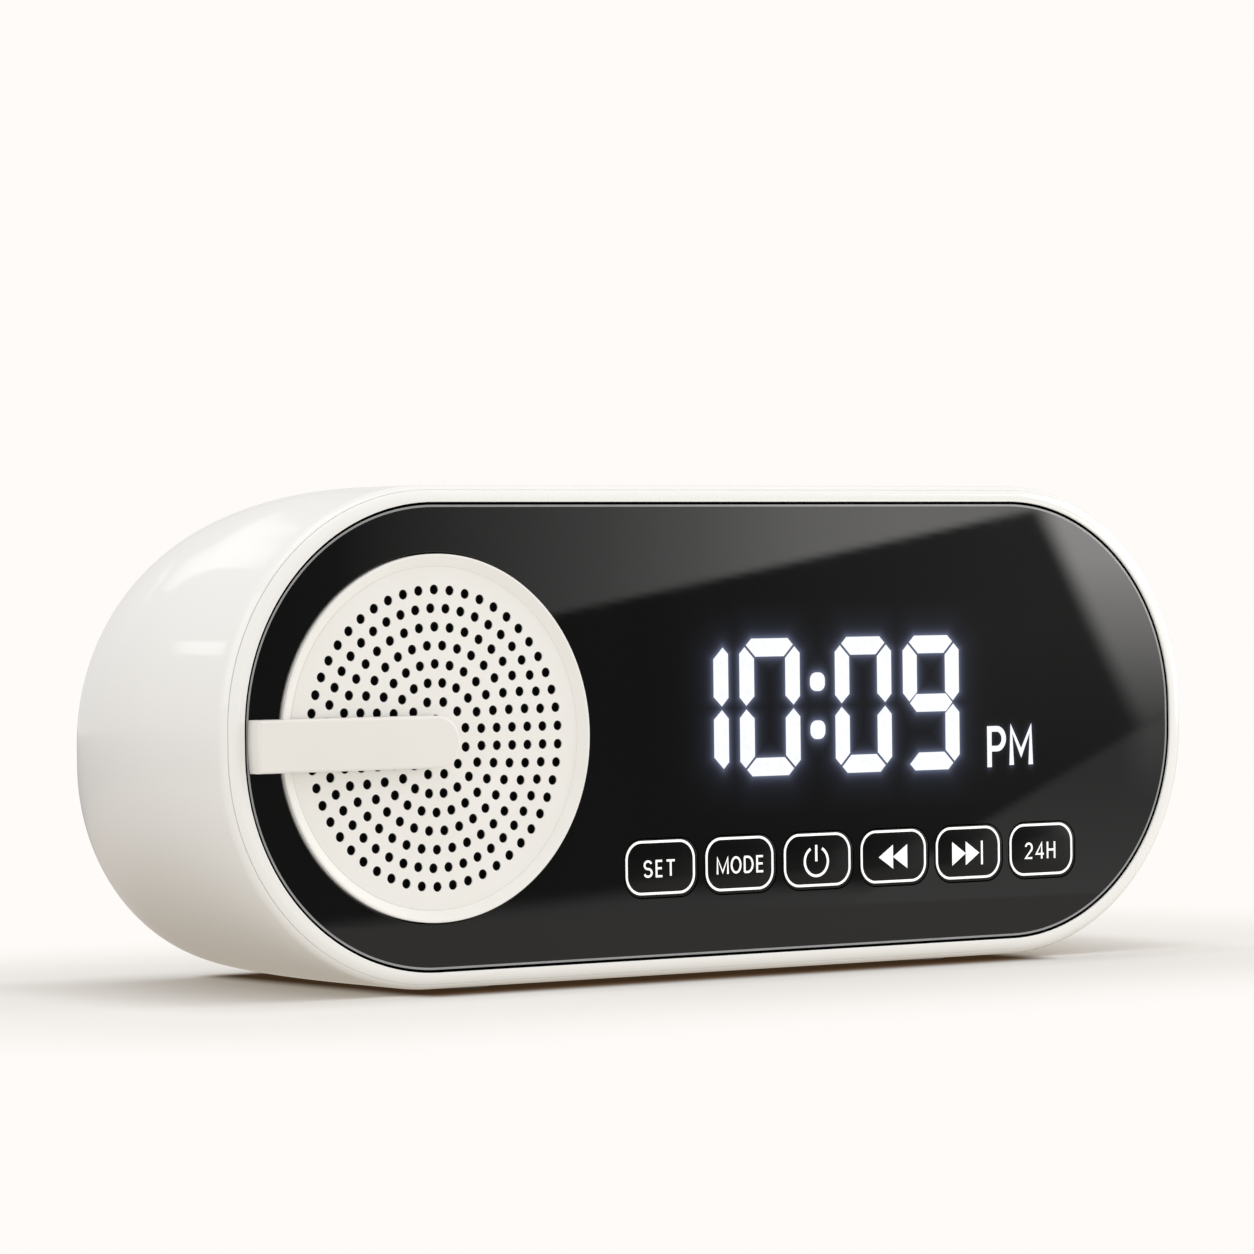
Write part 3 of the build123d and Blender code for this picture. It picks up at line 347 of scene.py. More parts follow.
def set_values(piece, name, values):
    """Gives each point of a piece a value that its material reads by name."""
    attribute = piece.data.attributes.new(name, "FLOAT", "POINT")
    attribute.data.foreach_set("value", values.astype(np.float32))


def wall(rings, first, close=False):
    """Quads between rings that run from front to back, facing outwards on an anticlockwise outline."""
    count, around = len(rings), len(rings[0])
    row = first + around * np.arange(count)
    steps = list(zip(row, np.roll(row, -1)))[:count if close else count - 1]
    here = np.arange(around)
    ahead = np.roll(here, -1)
    return [np.stack([a + here, b + here, b + ahead, a + ahead], 1) for a, b in steps]


def tube_piece(name, rings, material, body, slots=()):
    """A closed band: the last ring joins the first, so the profile goes all the way round its wall."""
    return new_piece(name, np.concatenate(rings), wall(rings, 0, close=True), material, body, slots=slots)


def plate_piece(name, outer, holes, material, body, wall_slots=(), hole_slots=()):
    """A plate with holes. Each outline is a list of rings from the front face's edge to the back face's edge,
    walls join the rings, and the two faces are filled between the outer ring and the holes' rings."""
    rings = [outer] + [[ring[::-1] for ring in hole] for hole in holes]
    points, faces, first, fronts, backs, slots = [], [], 0, [], [], []
    for number, run in enumerate(rings):
        faces += wall(run, first)
        chosen = list(hole_slots if number else wall_slots)
        slots += (chosen + [0] * len(run))[:len(run) - 1]
        size = len(run[0])
        fronts.append(first + np.arange(size))
        backs.append(first + size * (len(run) - 1) + np.arange(size))
        points += run
        first += size * len(run)
    points = np.concatenate(points)
    fronts, backs = np.concatenate(fronts), np.concatenate(backs)
    loops = [[Vector((p[0], p[2], 0)) for p in run[0]] for run in rings]
    triangles = np.array(tessellate_polygon(loops))
    corner = points[fronts][triangles]
    across, along = corner[:, 1] - corner[:, 0], corner[:, 2] - corner[:, 0]
    turned = across[:, 2] * along[:, 0] - across[:, 0] * along[:, 2] > 0
    triangles[turned] = triangles[turned][:, ::-1]
    walls = len(faces)
    faces += [fronts[triangles], backs[triangles][:, ::-1]]
    return new_piece(name, points, faces, material, body, [False] * walls + [True, True], slots + [0, 0])


def turned_rings(profile, x, z, count=160):
    """Circles about an axis that runs front to back, one for each (radius, depth) of the profile."""
    return [placed(circle(radius, (x, z), count), depth) for radius, depth in profile]


def rounded_corner(start, middle, end, steps=6):
    """Points along a smooth corner: a quadratic curve from start to end that is drawn towards middle."""
    t = np.linspace(0, 1, steps + 1)[:, None]
    start, middle, end = (np.array(p, float) for p in (start, middle, end))
    return (1 - t) ** 2 * start + 2 * t * (1 - t) * middle + t ** 2 * end


def quarter(radius, first_inset, first_depth, steps=8):
    """A quarter-round edge from a wall to a face, as (inset, depth) pairs from the face to the wall."""
    turn = np.linspace(0, np.pi / 2, steps + 1)
    return [(first_inset + radius * (1 - np.sin(t)), first_depth + radius * (1 - np.cos(t))) for t in turn]


# Materials

def add_node(owner, kind, inputs=None):
    """Adds one node. Each key names a property or a socket of it: an output is linked there, a hex colour is
    turned linear, and any other value is set."""
    tree = owner.node_tree
    node = tree.nodes.new(kind)
    for key, value in (inputs or {}).items():
        if isinstance(value, bpy.types.NodeSocket):
            tree.links.new(value, node.inputs[key])
        elif isinstance(key, str) and hasattr(node, key) and key not in node.inputs:
            setattr(node, key, value)
        else:
            is_colour = isinstance(value, str) and value.startswith("#")
            node.inputs[key].default_value = linear(value) if is_colour else value
    return node


def new_material(name, **sockets):
    """A material with one shader, whose sockets are set by name."""
    material = bpy.data.materials.new(name)
    material.use_nodes = True
    shader = material.node_tree.nodes["Principled BSDF"]
    for key, value in sockets.items():
        shader.inputs[key.replace("_", " ")].default_value = value
    return material, shader


def join(owner, output, socket):
    """Links an output to a socket."""
    owner.node_tree.links.new(output, socket)


def surface_noise(material, size, detail=2.0):
    """Noise in the object's own coordinates whose lumps are this many millimetres across."""
    place = add_node(material, "ShaderNodeTexCoord").outputs["Object"]
    return add_node(material, "ShaderNodeTexNoise",
                    {"Scale": 1 / (size * MM), "Detail": detail, "Vector": place}).outputs["Fac"]


def vary_colour(material, shader, size, dark, light, socket="Base Color"):
    """Lets a colour drift between two close tones over the middle part of a noise of this size."""
    share = add_node(material, "ShaderNodeMapRange",
                     {"From Min": noise_low, "From Max": noise_high, "Value": surface_noise(material, size)})
    tone = add_node(material, "ShaderNodeMix",
                    {"data_type": "RGBA", 0: share.outputs["Result"], 6: dark, 7: light})
    join(material, tone.outputs[2], shader.inputs[socket])


def drifting_finish(name, tones, sheen, relief, **sockets):
    """A finish whose colour, roughness and height each drift with a noise of their own: tones holds its size
    and two colours, sheen its size and two roughnesses, and relief its size, detail and height."""
    material, shader = new_material(name, **sockets)
    vary_colour(material, shader, *tones)
    size, low, high = sheen
    roughness = add_node(material, "ShaderNodeMapRange",
                         {"From Min": noise_low, "From Max": noise_high, "To Min": low, "To Max": high,
                          "Value": surface_noise(material, size)})
    join(material, roughness.outputs["Result"], shader.inputs["Roughness"])
    size, detail, height = relief
    bump = add_node(material, "ShaderNodeBump", {"Strength": 1.0, "Distance": height * MM,
                                                 "Height": surface_noise(material, size, detail)})
    join(material, bump.outputs["Normal"], shader.inputs["Normal"])
    return material


def moulded_abs():
    """White ABS, moulded and polished: a clean gloss with very faint waviness from the tool."""
    return drifting_finish("white_polished_ABS", (40, "#efeeeb", "#f1f0ed"), (9, 0.07, 0.1), (14, 1, 0.006),
                           IOR=1.53)


def satin_abs(name, dark, light, grain, roughness):
    """ABS from a finely eroded tool: a soft satin face with a grain of about the given size."""
    return drifting_finish(name, (12, dark, light), (6, roughness - 0.04, roughness + 0.04),
                           (grain, 3, 0.004), IOR=1.53)


def black_acrylic(name, roughness, level=0.5):
    """Cast acrylic, black and polished: a mirror face over black, with the faintest orange peel."""
    return drifting_finish(name, (30, "#070707", "#090909"), (8, roughness, roughness + 0.02),
                           (18, 1, 0.0015), IOR=1.49, Specular_IOR_Level=level)


def plain_finish(name, dark, light, roughness, metallic=0.0, lump=3.0, relief=0.003, level=0.5):
    """A plain moulded, pressed or plated finish: close tones, an even sheen and a fine grain."""
    return drifting_finish(name, (lump, dark, light), (lump / 2, roughness - 0.05, roughness + 0.05),
                           (lump / 12, 3, relief), Metallic=metallic, Specular_IOR_Level=level)


def woven_cloth(name, dark, light, size):
    """Plain woven cloth: two sine waves at right angles, multiplied. Each is 2 pi sizes long, which is
    coarser than a real thread, so that it can show."""
    material, shader = new_material(name, Roughness=0.95, Sheen_Weight=0.15)
    place = add_node(material, "ShaderNodeTexCoord").outputs["Object"]
    warp, weft = [add_node(material, "ShaderNodeTexWave",
                           {"bands_direction": direction, "Scale": 1 / (size * MM) / 20, "Distortion": 0.6,
                            "Detail": 1.0, "Vector": place}).outputs["Fac"] for direction in ("X", "Z")]
    both = add_node(material, "ShaderNodeMath", {"operation": "MULTIPLY", 0: warp, 1: weft}).outputs[0]
    tone = add_node(material, "ShaderNodeMix", {"data_type": "RGBA", 0: both, 6: dark, 7: light})
    join(material, tone.outputs[2], shader.inputs["Base Color"])
    bump = add_node(material, "ShaderNodeBump", {"Strength": 1.0, "Distance": cloth_relief * MM,
                                                 "Height": both})
    join(material, bump.outputs["Normal"], shader.inputs["Normal"])
    return material


def lit_segment():
    """Diffusing acrylic over white diodes: an even light that is a little cooler in places."""
    material, shader = new_material("lit_diffuser", Base_Color=linear("#101010"), Roughness=0.5,
                                    Emission_Strength=1.0)
    vary_colour(material, shader, 0.9, "#f4f7ff", "#ffffff", "Emission Color")
    return material


def screen_print():
    """White screen-print ink: flat and matt, with a trace of the mesh in its tone, and a faint painted glow
    that keeps it bright whatever the light.
    """
    material, shader = new_material("white_print_ink_with_painted_glow", Roughness=0.5, Emission_Strength=0.25,
                                    Emission_Color=linear("#ffffff"))
    vary_colour(material, shader, 0.5, "#f2f2f2", "#fbfbfb")
    return material


def glowing_acrylic():
    """The black acrylic over the display: the same face, with the light that spreads inside it round the
    segments. The attribute "glow" holds how much reaches each point."""
    material = black_acrylic("black_acrylic_display", 0.02)
    shader = material.node_tree.nodes["Principled BSDF"]
    glow = add_node(material, "ShaderNodeAttribute", {"attribute_name": "glow"})
    join(material, glow.outputs["Fac"], shader.inputs["Emission Strength"])
    shader.inputs["Emission Color"].default_value = linear("#b9c6f2")
    return material


white_abs = moulded_abs()
grille_abs = satin_abs("white_satin_ABS", "#edebe6", "#efede9", 0.25, 0.42)
bar_abs = satin_abs("pale_grey_satin_ABS", "#e7e4df", "#e9e6e1", 0.3, 0.38)
acrylic = black_acrylic("black_acrylic", 0.02)
key_acrylic = black_acrylic("black_acrylic_key", 0.16, 0.32)
display_acrylic = glowing_acrylic()
# A grey band on the panel's face along its edge: a painted highlight for the shine of the polished edge
edge_highlight_grey = plain_finish("painted_edge_highlight", "#8e8f90", "#9a9b9c", 0.16)
# The keys' white print, with a faint painted glow
print_ink_and_glow = screen_print()
segment_light = lit_segment()
# Black for the rim's seat and inner wall behind the panel's edge: painted shade for the dark gap round the
# panel
gap_shade_black = plain_finish("painted_gap_shade", "#030303", "#070707", 0.9, level=0.05)
# Black nylon for the inner parts, also laid in the grille's hole bores as painted shade inside the holes
dark_nylon_and_bore_shade = plain_finish("black_nylon_and_painted_bore_shade", "#0d0d0d", "#151515", 0.5)

# The finish of each node that isn't plain black nylon
node_finishes = [
    (satin_abs("white_textured_ABS", "#e2dfda", "#e7e4df", 0.4, 0.5), "rear_cover"),
    (woven_cloth("black_speaker_cloth", "#040404", "#101010", 0.3), "grille_cloth"),
    (woven_cloth("treated_cotton", "#8a5f22", "#b98a3e", 0.5), "speaker_spider"),
    (plain_finish("green_solder_resist", "#0d3a22", "#11472a", 0.35, lump=6), "front_board main_board"),
    (plain_finish("black_butyl_rubber", "#0e0e0e", "#161616", 0.7),
     "speaker_surround speaker_cable battery_cable"),
    (plain_finish("grey_silicone_rubber", "#5a5856", "#66635f", 0.75), "rubber_feet"),
    (plain_finish("zinc_plated_steel", "#a9abad", "#c2c4c6", 0.3, metallic=1.0),
     "front_board_screws speaker_screws rear_cover_screws main_board_screws usb_socket card_socket "
     "bluetooth_module speaker_yoke speaker_top_plate"),
    (plain_finish("black_coated_steel", "#141414", "#1d1d1d", 0.4), "speaker_basket"),
    (plain_finish("pressed_paper", "#101010", "#1b1a19", 0.9, lump=1.0, relief=0.02),
     "speaker_cone dust_cap"),
    (plain_finish("sintered_ferrite", "#2b2b2c", "#38383a", 0.6, lump=1.5), "speaker_magnet power_inductor"),
    (plain_finish("enamelled_copper", "#b4623a", "#c97a4c", 0.3, metallic=1.0, lump=0.6), "voice_coil"),
    (plain_finish("satin_aluminium", "#c9cacc", "#d8d9db", 0.3, metallic=1.0), "coil_former capacitors"),
    (plain_finish("ivory_nylon", "#ddd8c8", "#e6e1d2", 0.5), "wire_plugs ribbon_cable"),
    (plain_finish("black_foam", "#0b0b0b", "#191919", 0.95, lump=0.5, relief=0.08),
     "speaker_gasket battery_tape panel_tape"),
    (plain_finish("blue_shrink_wrap", "#1d4a86", "#235595", 0.3, lump=8), "battery_cell"),
    (plain_finish("tinted_film", "#101114", "#15161a", 0.2), "display_film"),
    (plain_finish("white_diffusing_acrylic", "#e8ebf0", "#f3f5f8", 0.5), "display_segments indicator_lens"),
]
finish_of = {node: finish for finish, nodes in node_finishes for node in nodes.split()}
for node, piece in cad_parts.items():
    piece.data.materials.clear()
    piece.data.materials.append(finish_of.get(node, dark_nylon_and_bore_shade))


# Casing, rim and panel

def drawn_in_at(depth):
    """How far the elliptical rounding has drawn in the casing at this depth."""
    reach = np.clip((depth - (casing_depth - round_depth)) / round_depth, 0, 1)
    return rear_inset * (1 - np.sqrt(1 - reach ** 2))


def rounding_points(turn):
    """Points of the rounded front edge at some angles, as (inset, depth)."""
    return np.stack([rim_round * (1 - np.sin(turn)), -rim_proud + rim_round * (1 - np.cos(turn))], -1)


def seam_side(way):
    """The edge of the rim (way -1) or of the casing (way 1) at the seam: (inset, depth) points from the
    rounded surface over a small lip and down the groove, which lies square to the surface."""
    half = seam_width / 2
    start = rounding_points(seam_angle + way * (half + seam_lip) / rim_round)
    along = way * np.array([-np.cos(seam_angle), np.sin(seam_angle)])
    inwards = np.array([np.sin(seam_angle), np.cos(seam_angle)])
    corner = rounding_points(seam_angle) + along * half
    lip = rounded_corner(start, corner, corner + inwards * seam_lip, 5)
    return np.vstack([lip, [corner + inwards * seam_depth]])


def build_casing():
    """A sleeve whose profile starts in the seam's groove, follows the rounded front edge and the straight
    side, goes over the elliptical rounding and across the rear face, down into the cover's recess, forward
    again along the inner wall, and out round the rim's skirt."""
    first = seam_angle + (seam_width / 2 + seam_lip) / rim_round
    front = np.vstack([seam_side(1)[::-1], rounding_points(np.linspace(first, np.pi / 2, 9)[1:])])
    rings = [placed(rim_outline(inset), depth) for inset, depth in front]
    straight = np.linspace(front[-1, 1], casing_depth - round_depth, 10)[1:-1]
    turn = np.linspace(0, np.pi / 2, 64)
    rounding = casing_depth - round_depth + round_depth * np.sin(turn)
    profile = [(depth, 0.0, 0.0) for depth in straight]
    profile += [(depth, rear_inset * (1 - np.cos(t)), 0.0) for depth, t in zip(rounding, turn)]
    face = casing_depth - cover_thickness
    soft, slight = recess_round, recess_round * 0.3
    recess = [(casing_depth, cover_border - soft), (casing_depth - slight, cover_border - slight),
              (casing_depth - soft, cover_border), (face, cover_border), (face, cover_border + cover_seat),
              (face - seat_thickness, cover_border + cover_seat)]
    profile += [(depth, rear_inset, border) for depth, border in recess]
    inner = casing_depth - round_depth + round_depth * np.sin(np.linspace(1.2, 0, 20))
    profile += [(depth, drawn_in_at(depth), casing_wall) for depth in inner]
    skirt_back = skirt_end + skirt_room
    profile += [(skirt_back + wall_step, 0.0, casing_wall), (skirt_back, 0.0, front_wall),
                (front[0, 1] + front_wall_start, 0.0, front_wall)]
    rings += [placed(casing_outline(inset, inner_wall), depth) for depth, inset, inner_wall in profile]
    rings.append(placed(rim_outline(front[0, 0] + groove_step[0]), front[0, 1] + groove_step[1]))
    piece = tube_piece("casing", rings, white_abs, "root")
    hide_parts("casing_shell")


def build_rim():
    """The rim round the panel: its face, the rounded edge as far as the seam, the skirt that enters the
    casing, the seat under the panel and the inner wall behind the panel's edge, both painted black as the
    shade in the gap, and a softened inner edge."""
    edge = seam_side(-1)
    last = seam_angle - (seam_width / 2 + seam_lip) / rim_round
    outer = np.vstack([rounding_points(np.linspace(0, last, 9)[:-1]), edge])
    rings = [placed(rim_outline(inset), depth) for inset, depth in outer]
    rings += [placed(rim_outline(skirt_inset), depth) for depth in (edge[-1, 1] + skirt_start, skirt_end)]
    flange = rim_seat_depth + rim_seat_flange
    rings += [placed(rim_outline(skirt_inner), depth) for depth in (skirt_end, flange)]
    rings += [placed(opening_outline(rim_seat_width), depth) for depth in (flange, rim_seat_depth)]
    # The seat and the inner wall down to the panel's face take the painted gap shade
    slots = [0] * (len(rings) - 1) + [1, 1]
    front = -rim_proud
    rings += [placed(opening_outline(-rim_wall_room), depth)
              for depth in (rim_seat_depth, 0, front + rim_inner_round)]
    rings += [placed(opening_outline(-inset), depth)
              for inset, depth in quarter(rim_inner_round, rim_wall_room, front, 6)[::-1][1:]]
    piece = tube_piece("rim", rings, [white_abs, gap_shade_black], "root", slots)
    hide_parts("front_frame")


def build_panel():
    """The acrylic panel: a flat face with a grey band along its edge, a painted highlight for the shine of
    the polished edge, the grille's hole and six key openings."""
    # The run starts with the flat band that carries the painted highlight, then the edge's wall
    run = [(glass_gap + edge_highlight_width, 0), (glass_gap, 0), (glass_gap, glass_thickness)]
    outer = [placed(opening_outline(inset), depth) for inset, depth in run]
    radius = grille_radius + grille_gap
    holes = [turned_rings([(radius + hole_chamfer, 0), (radius, hole_chamfer), (radius, glass_thickness)],
                          grille_x, grille_z)]
    for x in key_middles.values():
        holes.append([placed(key_outline(x, -key_gap), depth) for depth in (0, glass_thickness)])
    piece = plate_piece("panel", outer, holes, [acrylic, edge_highlight_grey], "root", wall_slots=[1])
    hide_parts("front_panel")


# Grille and bar

def hole_places():
    """The grille's holes: rings of even pitch, each turned by half a step, without those under the bar."""
    places = []
    for ring, count in enumerate(ring_counts, start=1):
        turn = np.pi / count + 2 * np.pi * np.arange(count) / count
        places.append(ring_pitch * ring * np.stack([np.cos(turn), np.sin(turn)], 1) + (grille_x, grille_z))
    places = np.concatenate(places)
    bar_middle = grille_z - bar_drop
    covered = (np.abs(places[:, 1] - bar_middle) + hole_radius < bar_height / 2) & \
              (np.hypot(np.maximum(places[:, 0] - bar_right + bar_height / 2, 0),
                        places[:, 1] - bar_middle) + hole_radius < bar_height / 2)
    return places[~covered]


def build_grille():
    """The dish: from the plate over a fine groove and up the slope, over the softened rim, down its side and
    back under the plate. Each hole has a small flare at its mouth, a pale wall, and below it a bore painted
    black as the shade inside the hole."""
    flat_start = grille_radius - grille_rim_flat
    slope_start = flat_start - grille_rim_slope
    rise = grille_floor + grille_proud
    profile = [(slope_start - inset, grille_floor + drop) for inset, drop in slope_groove]
    profile += [(slope_start + share * grille_rim_slope, grille_floor - share * rise) for share in slope_ends]
    profile += [(flat_start, -grille_proud), (flat_start + 0.05, -grille_proud)]
    profile += [(grille_radius - inset, depth) for inset, depth in quarter(grille_edge, 0, -grille_proud, 5)]
    profile += [(grille_radius, rim_seat_depth), (grille_radius - grille_flange, rim_seat_depth),
                (grille_radius - grille_flange, grille_floor + grille_plate)]
    hole_run = [(hole_radius + hole_flare, 0), (hole_radius + hole_flare * 0.35, hole_flare * 0.4),
                (hole_radius, hole_flare * 1.3), (hole_radius, hole_pale_depth), (hole_radius, grille_plate)]
    holes = [[placed(circle(radius, place, 18), grille_floor + depth) for radius, depth in hole_run]
             for place in hole_places()]
    rings = turned_rings(profile, grille_x, grille_z, 220)
    # Below the pale wall, each hole's bore takes the black painted shade
    piece = plate_piece("grille", rings, holes, [grille_abs, dark_nylon_and_bore_shade], "root", hole_slots=[0, 0, 0, 1])
    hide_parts("speaker_grille")


def bar_outline(inset, steps=24):
    """The bar from the front: its right end is a half circle, and its left end follows the rim's arc."""
    half = bar_height / 2 - inset
    middle = grille_z - bar_drop
    turn = np.linspace(-np.pi / 2, np.pi / 2, 2 * steps + 1)
    right = np.stack([bar_right - bar_height / 2 + half * np.cos(turn), half * np.sin(turn)], 1)
    radius = corner_radius - rim_top - bar_gap
    end_middle = -(opening_width / 2 - radius - bar_gap)
    heights = np.linspace(half, -half, 2 * steps + 1)
    left = np.stack([inset + end_middle - np.sqrt(radius ** 2 - (heights + middle) ** 2), heights], 1)
    return np.concatenate([right, left]) + (0, middle)


def build_bar():
    """The bar: a flat face, rounded edges, and straight sides down to the panel."""
    rings = [placed(bar_outline(inset), depth) for inset, depth in quarter(bar_round, 0, -bar_proud)]
    rings.append(placed(bar_outline(0), bar_back))
    piece = plate_piece("bar", rings, [], bar_abs, "root")
    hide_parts("trim_bar")


# Strokes of printed and lit signs

def ribbon(path, width, height, lift, closed=False):
    """Points and faces of a flat band along a path (x, z): each point moves half the width to either side,
    along the line that halves its corner, and the band is given its height towards the viewer."""
    path = np.asarray(path, float)
    if closed:
        before, after = path - np.roll(path, 1, 0), np.roll(path, -1, 0) - path
    else:
        runs = np.diff(path, axis=0)
        before, after = np.vstack([runs[:1], runs]), np.vstack([runs, runs[-1:]])
    before = before / np.linalg.norm(before, axis=1)[:, None]
    after = after / np.linalg.norm(after, axis=1)[:, None]
    normal = before + after
    normal = np.stack([-normal[:, 1], normal[:, 0]], 1) / np.linalg.norm(normal, axis=1)[:, None]
    lean = np.clip((normal * np.stack([-before[:, 1], before[:, 0]], 1)).sum(1), 0.6, 1)
    offset = normal * (width / 2 / lean)[:, None]
    left, right = path + offset, path - offset
    front, back = -lift - height, -lift
    sides = [placed(left, front), placed(right, front), placed(right, back), placed(left, back)]
    count = len(path)
    here = np.arange(count if closed else count - 1)
    ahead = (here + 1) % count
    faces = [np.stack([a * count + here, a * count + ahead, b * count + ahead, b * count + here], 1)
             for a, b in ((0, 1), (1, 2), (2, 3), (3, 0))]
    if not closed:
        faces.append(np.array([[0, count, 2 * count, 3 * count]]))
        faces.append(np.array([[count - 1, 4 * count - 1, 3 * count - 1, 2 * count - 1]]))
    return np.concatenate(sides), faces


def sign_piece(name, paths, width, material, body, lift=0.0, closed=False):
    """One sign from several strokes, each a hair above the last so that no two faces share a plane."""
    points, faces, first = [], [], 0
    for number, path in enumerate(paths):
        one_points, one_faces = ribbon(path, width, print_thickness, lift + print_step * number, closed)
        points.append(one_points)
        faces += [part + first for part in one_faces]
        first += len(one_points)
    piece = new_piece(name, np.concatenate(points), faces, material, body, [True] * len(faces))


def bow(middle, radii, start, end, steps=14):
    """Points along part of an ellipse, between two angles in degrees."""
    turn = np.radians(np.linspace(start, end, steps))
    return np.stack([middle[0] + radii[0] * np.cos(turn), middle[1] + radii[1] * np.sin(turn)], 1)


def letter_paths(letter):
    """The strokes of a narrow plain letter, in shares of its width and height."""
    if letter == "S":
        upper = bow((0.5, 0.75), (0.42, 0.25), 20, 270, 20)
        lower = bow((0.5, 0.25), (0.45, 0.25), 90, -160, 20)
        return [np.concatenate([upper, lower[1:]])]
    if letter == "O":
        return [bow((0.5, 0.5), (0.5, 0.5), 90, 450, 33)]
    if letter == "D":
        top = bow((0.4, 0.5), (0.58, 0.5), 90, -90, 20)
        return [np.concatenate([[(0.02, 1)], top, [(0.02, 0)]]), [(0.04, 0), (0.04, 1)]]
    if letter == "2":
        top = bow((0.5, 0.71), (0.43, 0.29), 165, -35, 18)
        return [np.concatenate([top, [(0.06, 0.0), (0.96, 0.0)]])]
    if letter == "P":
        top = bow((0.5, 0.73), (0.48, 0.27), 90, -90, 14)
        return [np.concatenate([[(0, -0.04), (0, 1)], top, [(0, 0.46)]])]
    return {"E": [[(0.9, 1), (0.08, 1), (0.08, 0), (0.92, 0)], [(0.08, 0.52), (0.85, 0.52)]],
            "T": [[(0, 1), (1, 1)], [(0.5, 1), (0.5, 0)]],
            "M": [[(0, -0.07), (0, 1), (0.5, 0.06), (1, 1), (1, -0.07)]],
            "4": [[(0.74, -0.07), (0.74, 1), (0.04, 0.26), (1.0, 0.26)]],
            "H": [[(0.05, -0.07), (0.05, 1.07)], [(0.95, -0.07), (0.95, 1.07)],
                  [(0.05, 0.52), (0.95, 0.52)]]}[letter]


def word_paths(word, left, right, low, high, gap, shares):
    """The strokes of a word fitted between four edges, with each letter as wide as its share."""
    shares = np.array(shares, float)
    room = right - left - gap * (len(word) - 1)
    widths = room * shares / shares.sum()
    paths, start = [], left
    for letter, width in zip(word, widths):
        for path in letter_paths(letter):
            paths.append(np.asarray(path) * (width, high - low) + (start, low))
        start += width + gap
    return paths


def flat_sign(name, outlines, material, body, thickness=print_thickness, lift=0.0):
    """Filled signs: each outline becomes a thin plate."""
    for number, outline in enumerate(outlines):
        rings = [placed(outline, -lift - thickness), placed(outline, -lift)]
        plate_piece(f"{name}_{number}", rings, [], material, body)


def anticlockwise(outline):
    """The same outline, turned round if it runs clockwise."""
    outline = np.asarray(outline, float)
    ahead = np.roll(outline, -1, 0)
    area = (outline[:, 0] * ahead[:, 1] - ahead[:, 0] * outline[:, 1]).sum()
    return outline if area > 0 else outline[::-1]


def build_keys():
    """Each key: a cap with a softened edge and a printed outline near its edge."""
    for name, x in key_middles.items():
        body = f"key_{name}"
        rings = [placed(key_outline(x, inset), depth) for inset, depth in quarter(key_edge, 0, 0, 4)]
        rings += [placed(key_outline(x, 0), depth) for depth in cap_depths]
        cap = plate_piece(f"cap_{name}", rings, [], key_acrylic, body)
        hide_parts(f"key_{name}")
        line = key_outline(x, outline_inset + outline_width / 2) + print_shift
        sign_piece(f"outline_{name}", [line], outline_width, print_ink_and_glow, body, closed=True)


def build_legends():
    """The keys' signs, in plain strokes: three words, a power sign, and two pairs of arrowheads."""
    for name, (word, left, right, shares) in legend_words.items():
        paths = word_paths(word, left, right, legend_low, legend_high, letter_gap, shares)
        sign_piece(f"legend_{name}", [path + sign_shift for path in paths], letter_stroke, print_ink_and_glow, f"key_{name}")
    x = key_middles["power"] + power_shift[0] + sign_shift[0]
    z = key_row_z + power_shift[1]
    ring = bow((x, z), (power_radius, power_radius), *power_opening, 48)
    stem = [(x, key_row_z + power_stem_top), (x, z)]
    sign_piece("legend_power", [ring, stem], power_stroke, print_ink_and_glow, "key_power")
    for name, (left, right, way) in arrow_spans.items():
        ends = np.linspace(left, right, 3) + sign_shift[0]
        middle = key_row_z + arrow_rise
        heads = [anticlockwise([(base, middle - arrow_half), (tip, middle), (base, middle + arrow_half)])
                 for base, tip in (pair[::way] for pair in (ends[:2], ends[1:]))]
        flat_sign(f"legend_{name}", heads, print_ink_and_glow, f"key_{name}")
    stop = [(stop_x, key_row_z + end) for end in stop_ends]
    sign_piece("legend_forward_stop", [stop], stop_stroke, print_ink_and_glow, "key_forward")


# Display

def digit_sizes(width):
    """A digit's half width and half height, the mitre's share of its gap, and half of the corners' cut."""
    return width / 2, digit_height / 2, mitre_gap / (2 * np.sqrt(2)), corner_cut / 2


def upright(width, side, level):
    """An upright segment of a digit, about the digit's middle: a point at the waist, a mitre and a cut
    corner at the far end. side is -1 or 1 for left or right, level -1 or 1 for lower or upper."""
    wide, high, k, cut = digit_sizes(width)
    outline = [(wide - stroke * waist_point_share, waist_gap), (wide, waist_gap + point_rise),
               (wide, high - corner_cut), (wide - cut + k, high - cut - k),
               (wide - stroke, high - stroke - 2 * k),
               (wide - stroke, waist_gap + point_rise * inner_point_share)]
    return np.array(outline) * (side, level)


def level_bar(width, level):
    """The top or bottom segment: cut outer corners and mitred inner ones."""
    wide, high, k, cut = digit_sizes(width)
    right = [(wide - stroke - 2 * k, high - stroke), (wide - cut - k, high - cut + k),
             (wide - corner_cut, high)]
    left = [(-x, z) for x, z in right[::-1]]
    return np.array(right + left) * (1, level)


def middle_bar(width):
    """The segment across the waist, pointed at both ends."""
    end, half = width / 2 - waist_inset, stroke / 2
    shoulder = end - point_rise
    return np.array([(end, 0), (shoulder, half), (-shoulder, half), (-end, 0), (-shoulder, -half),
                     (shoulder, -half)])


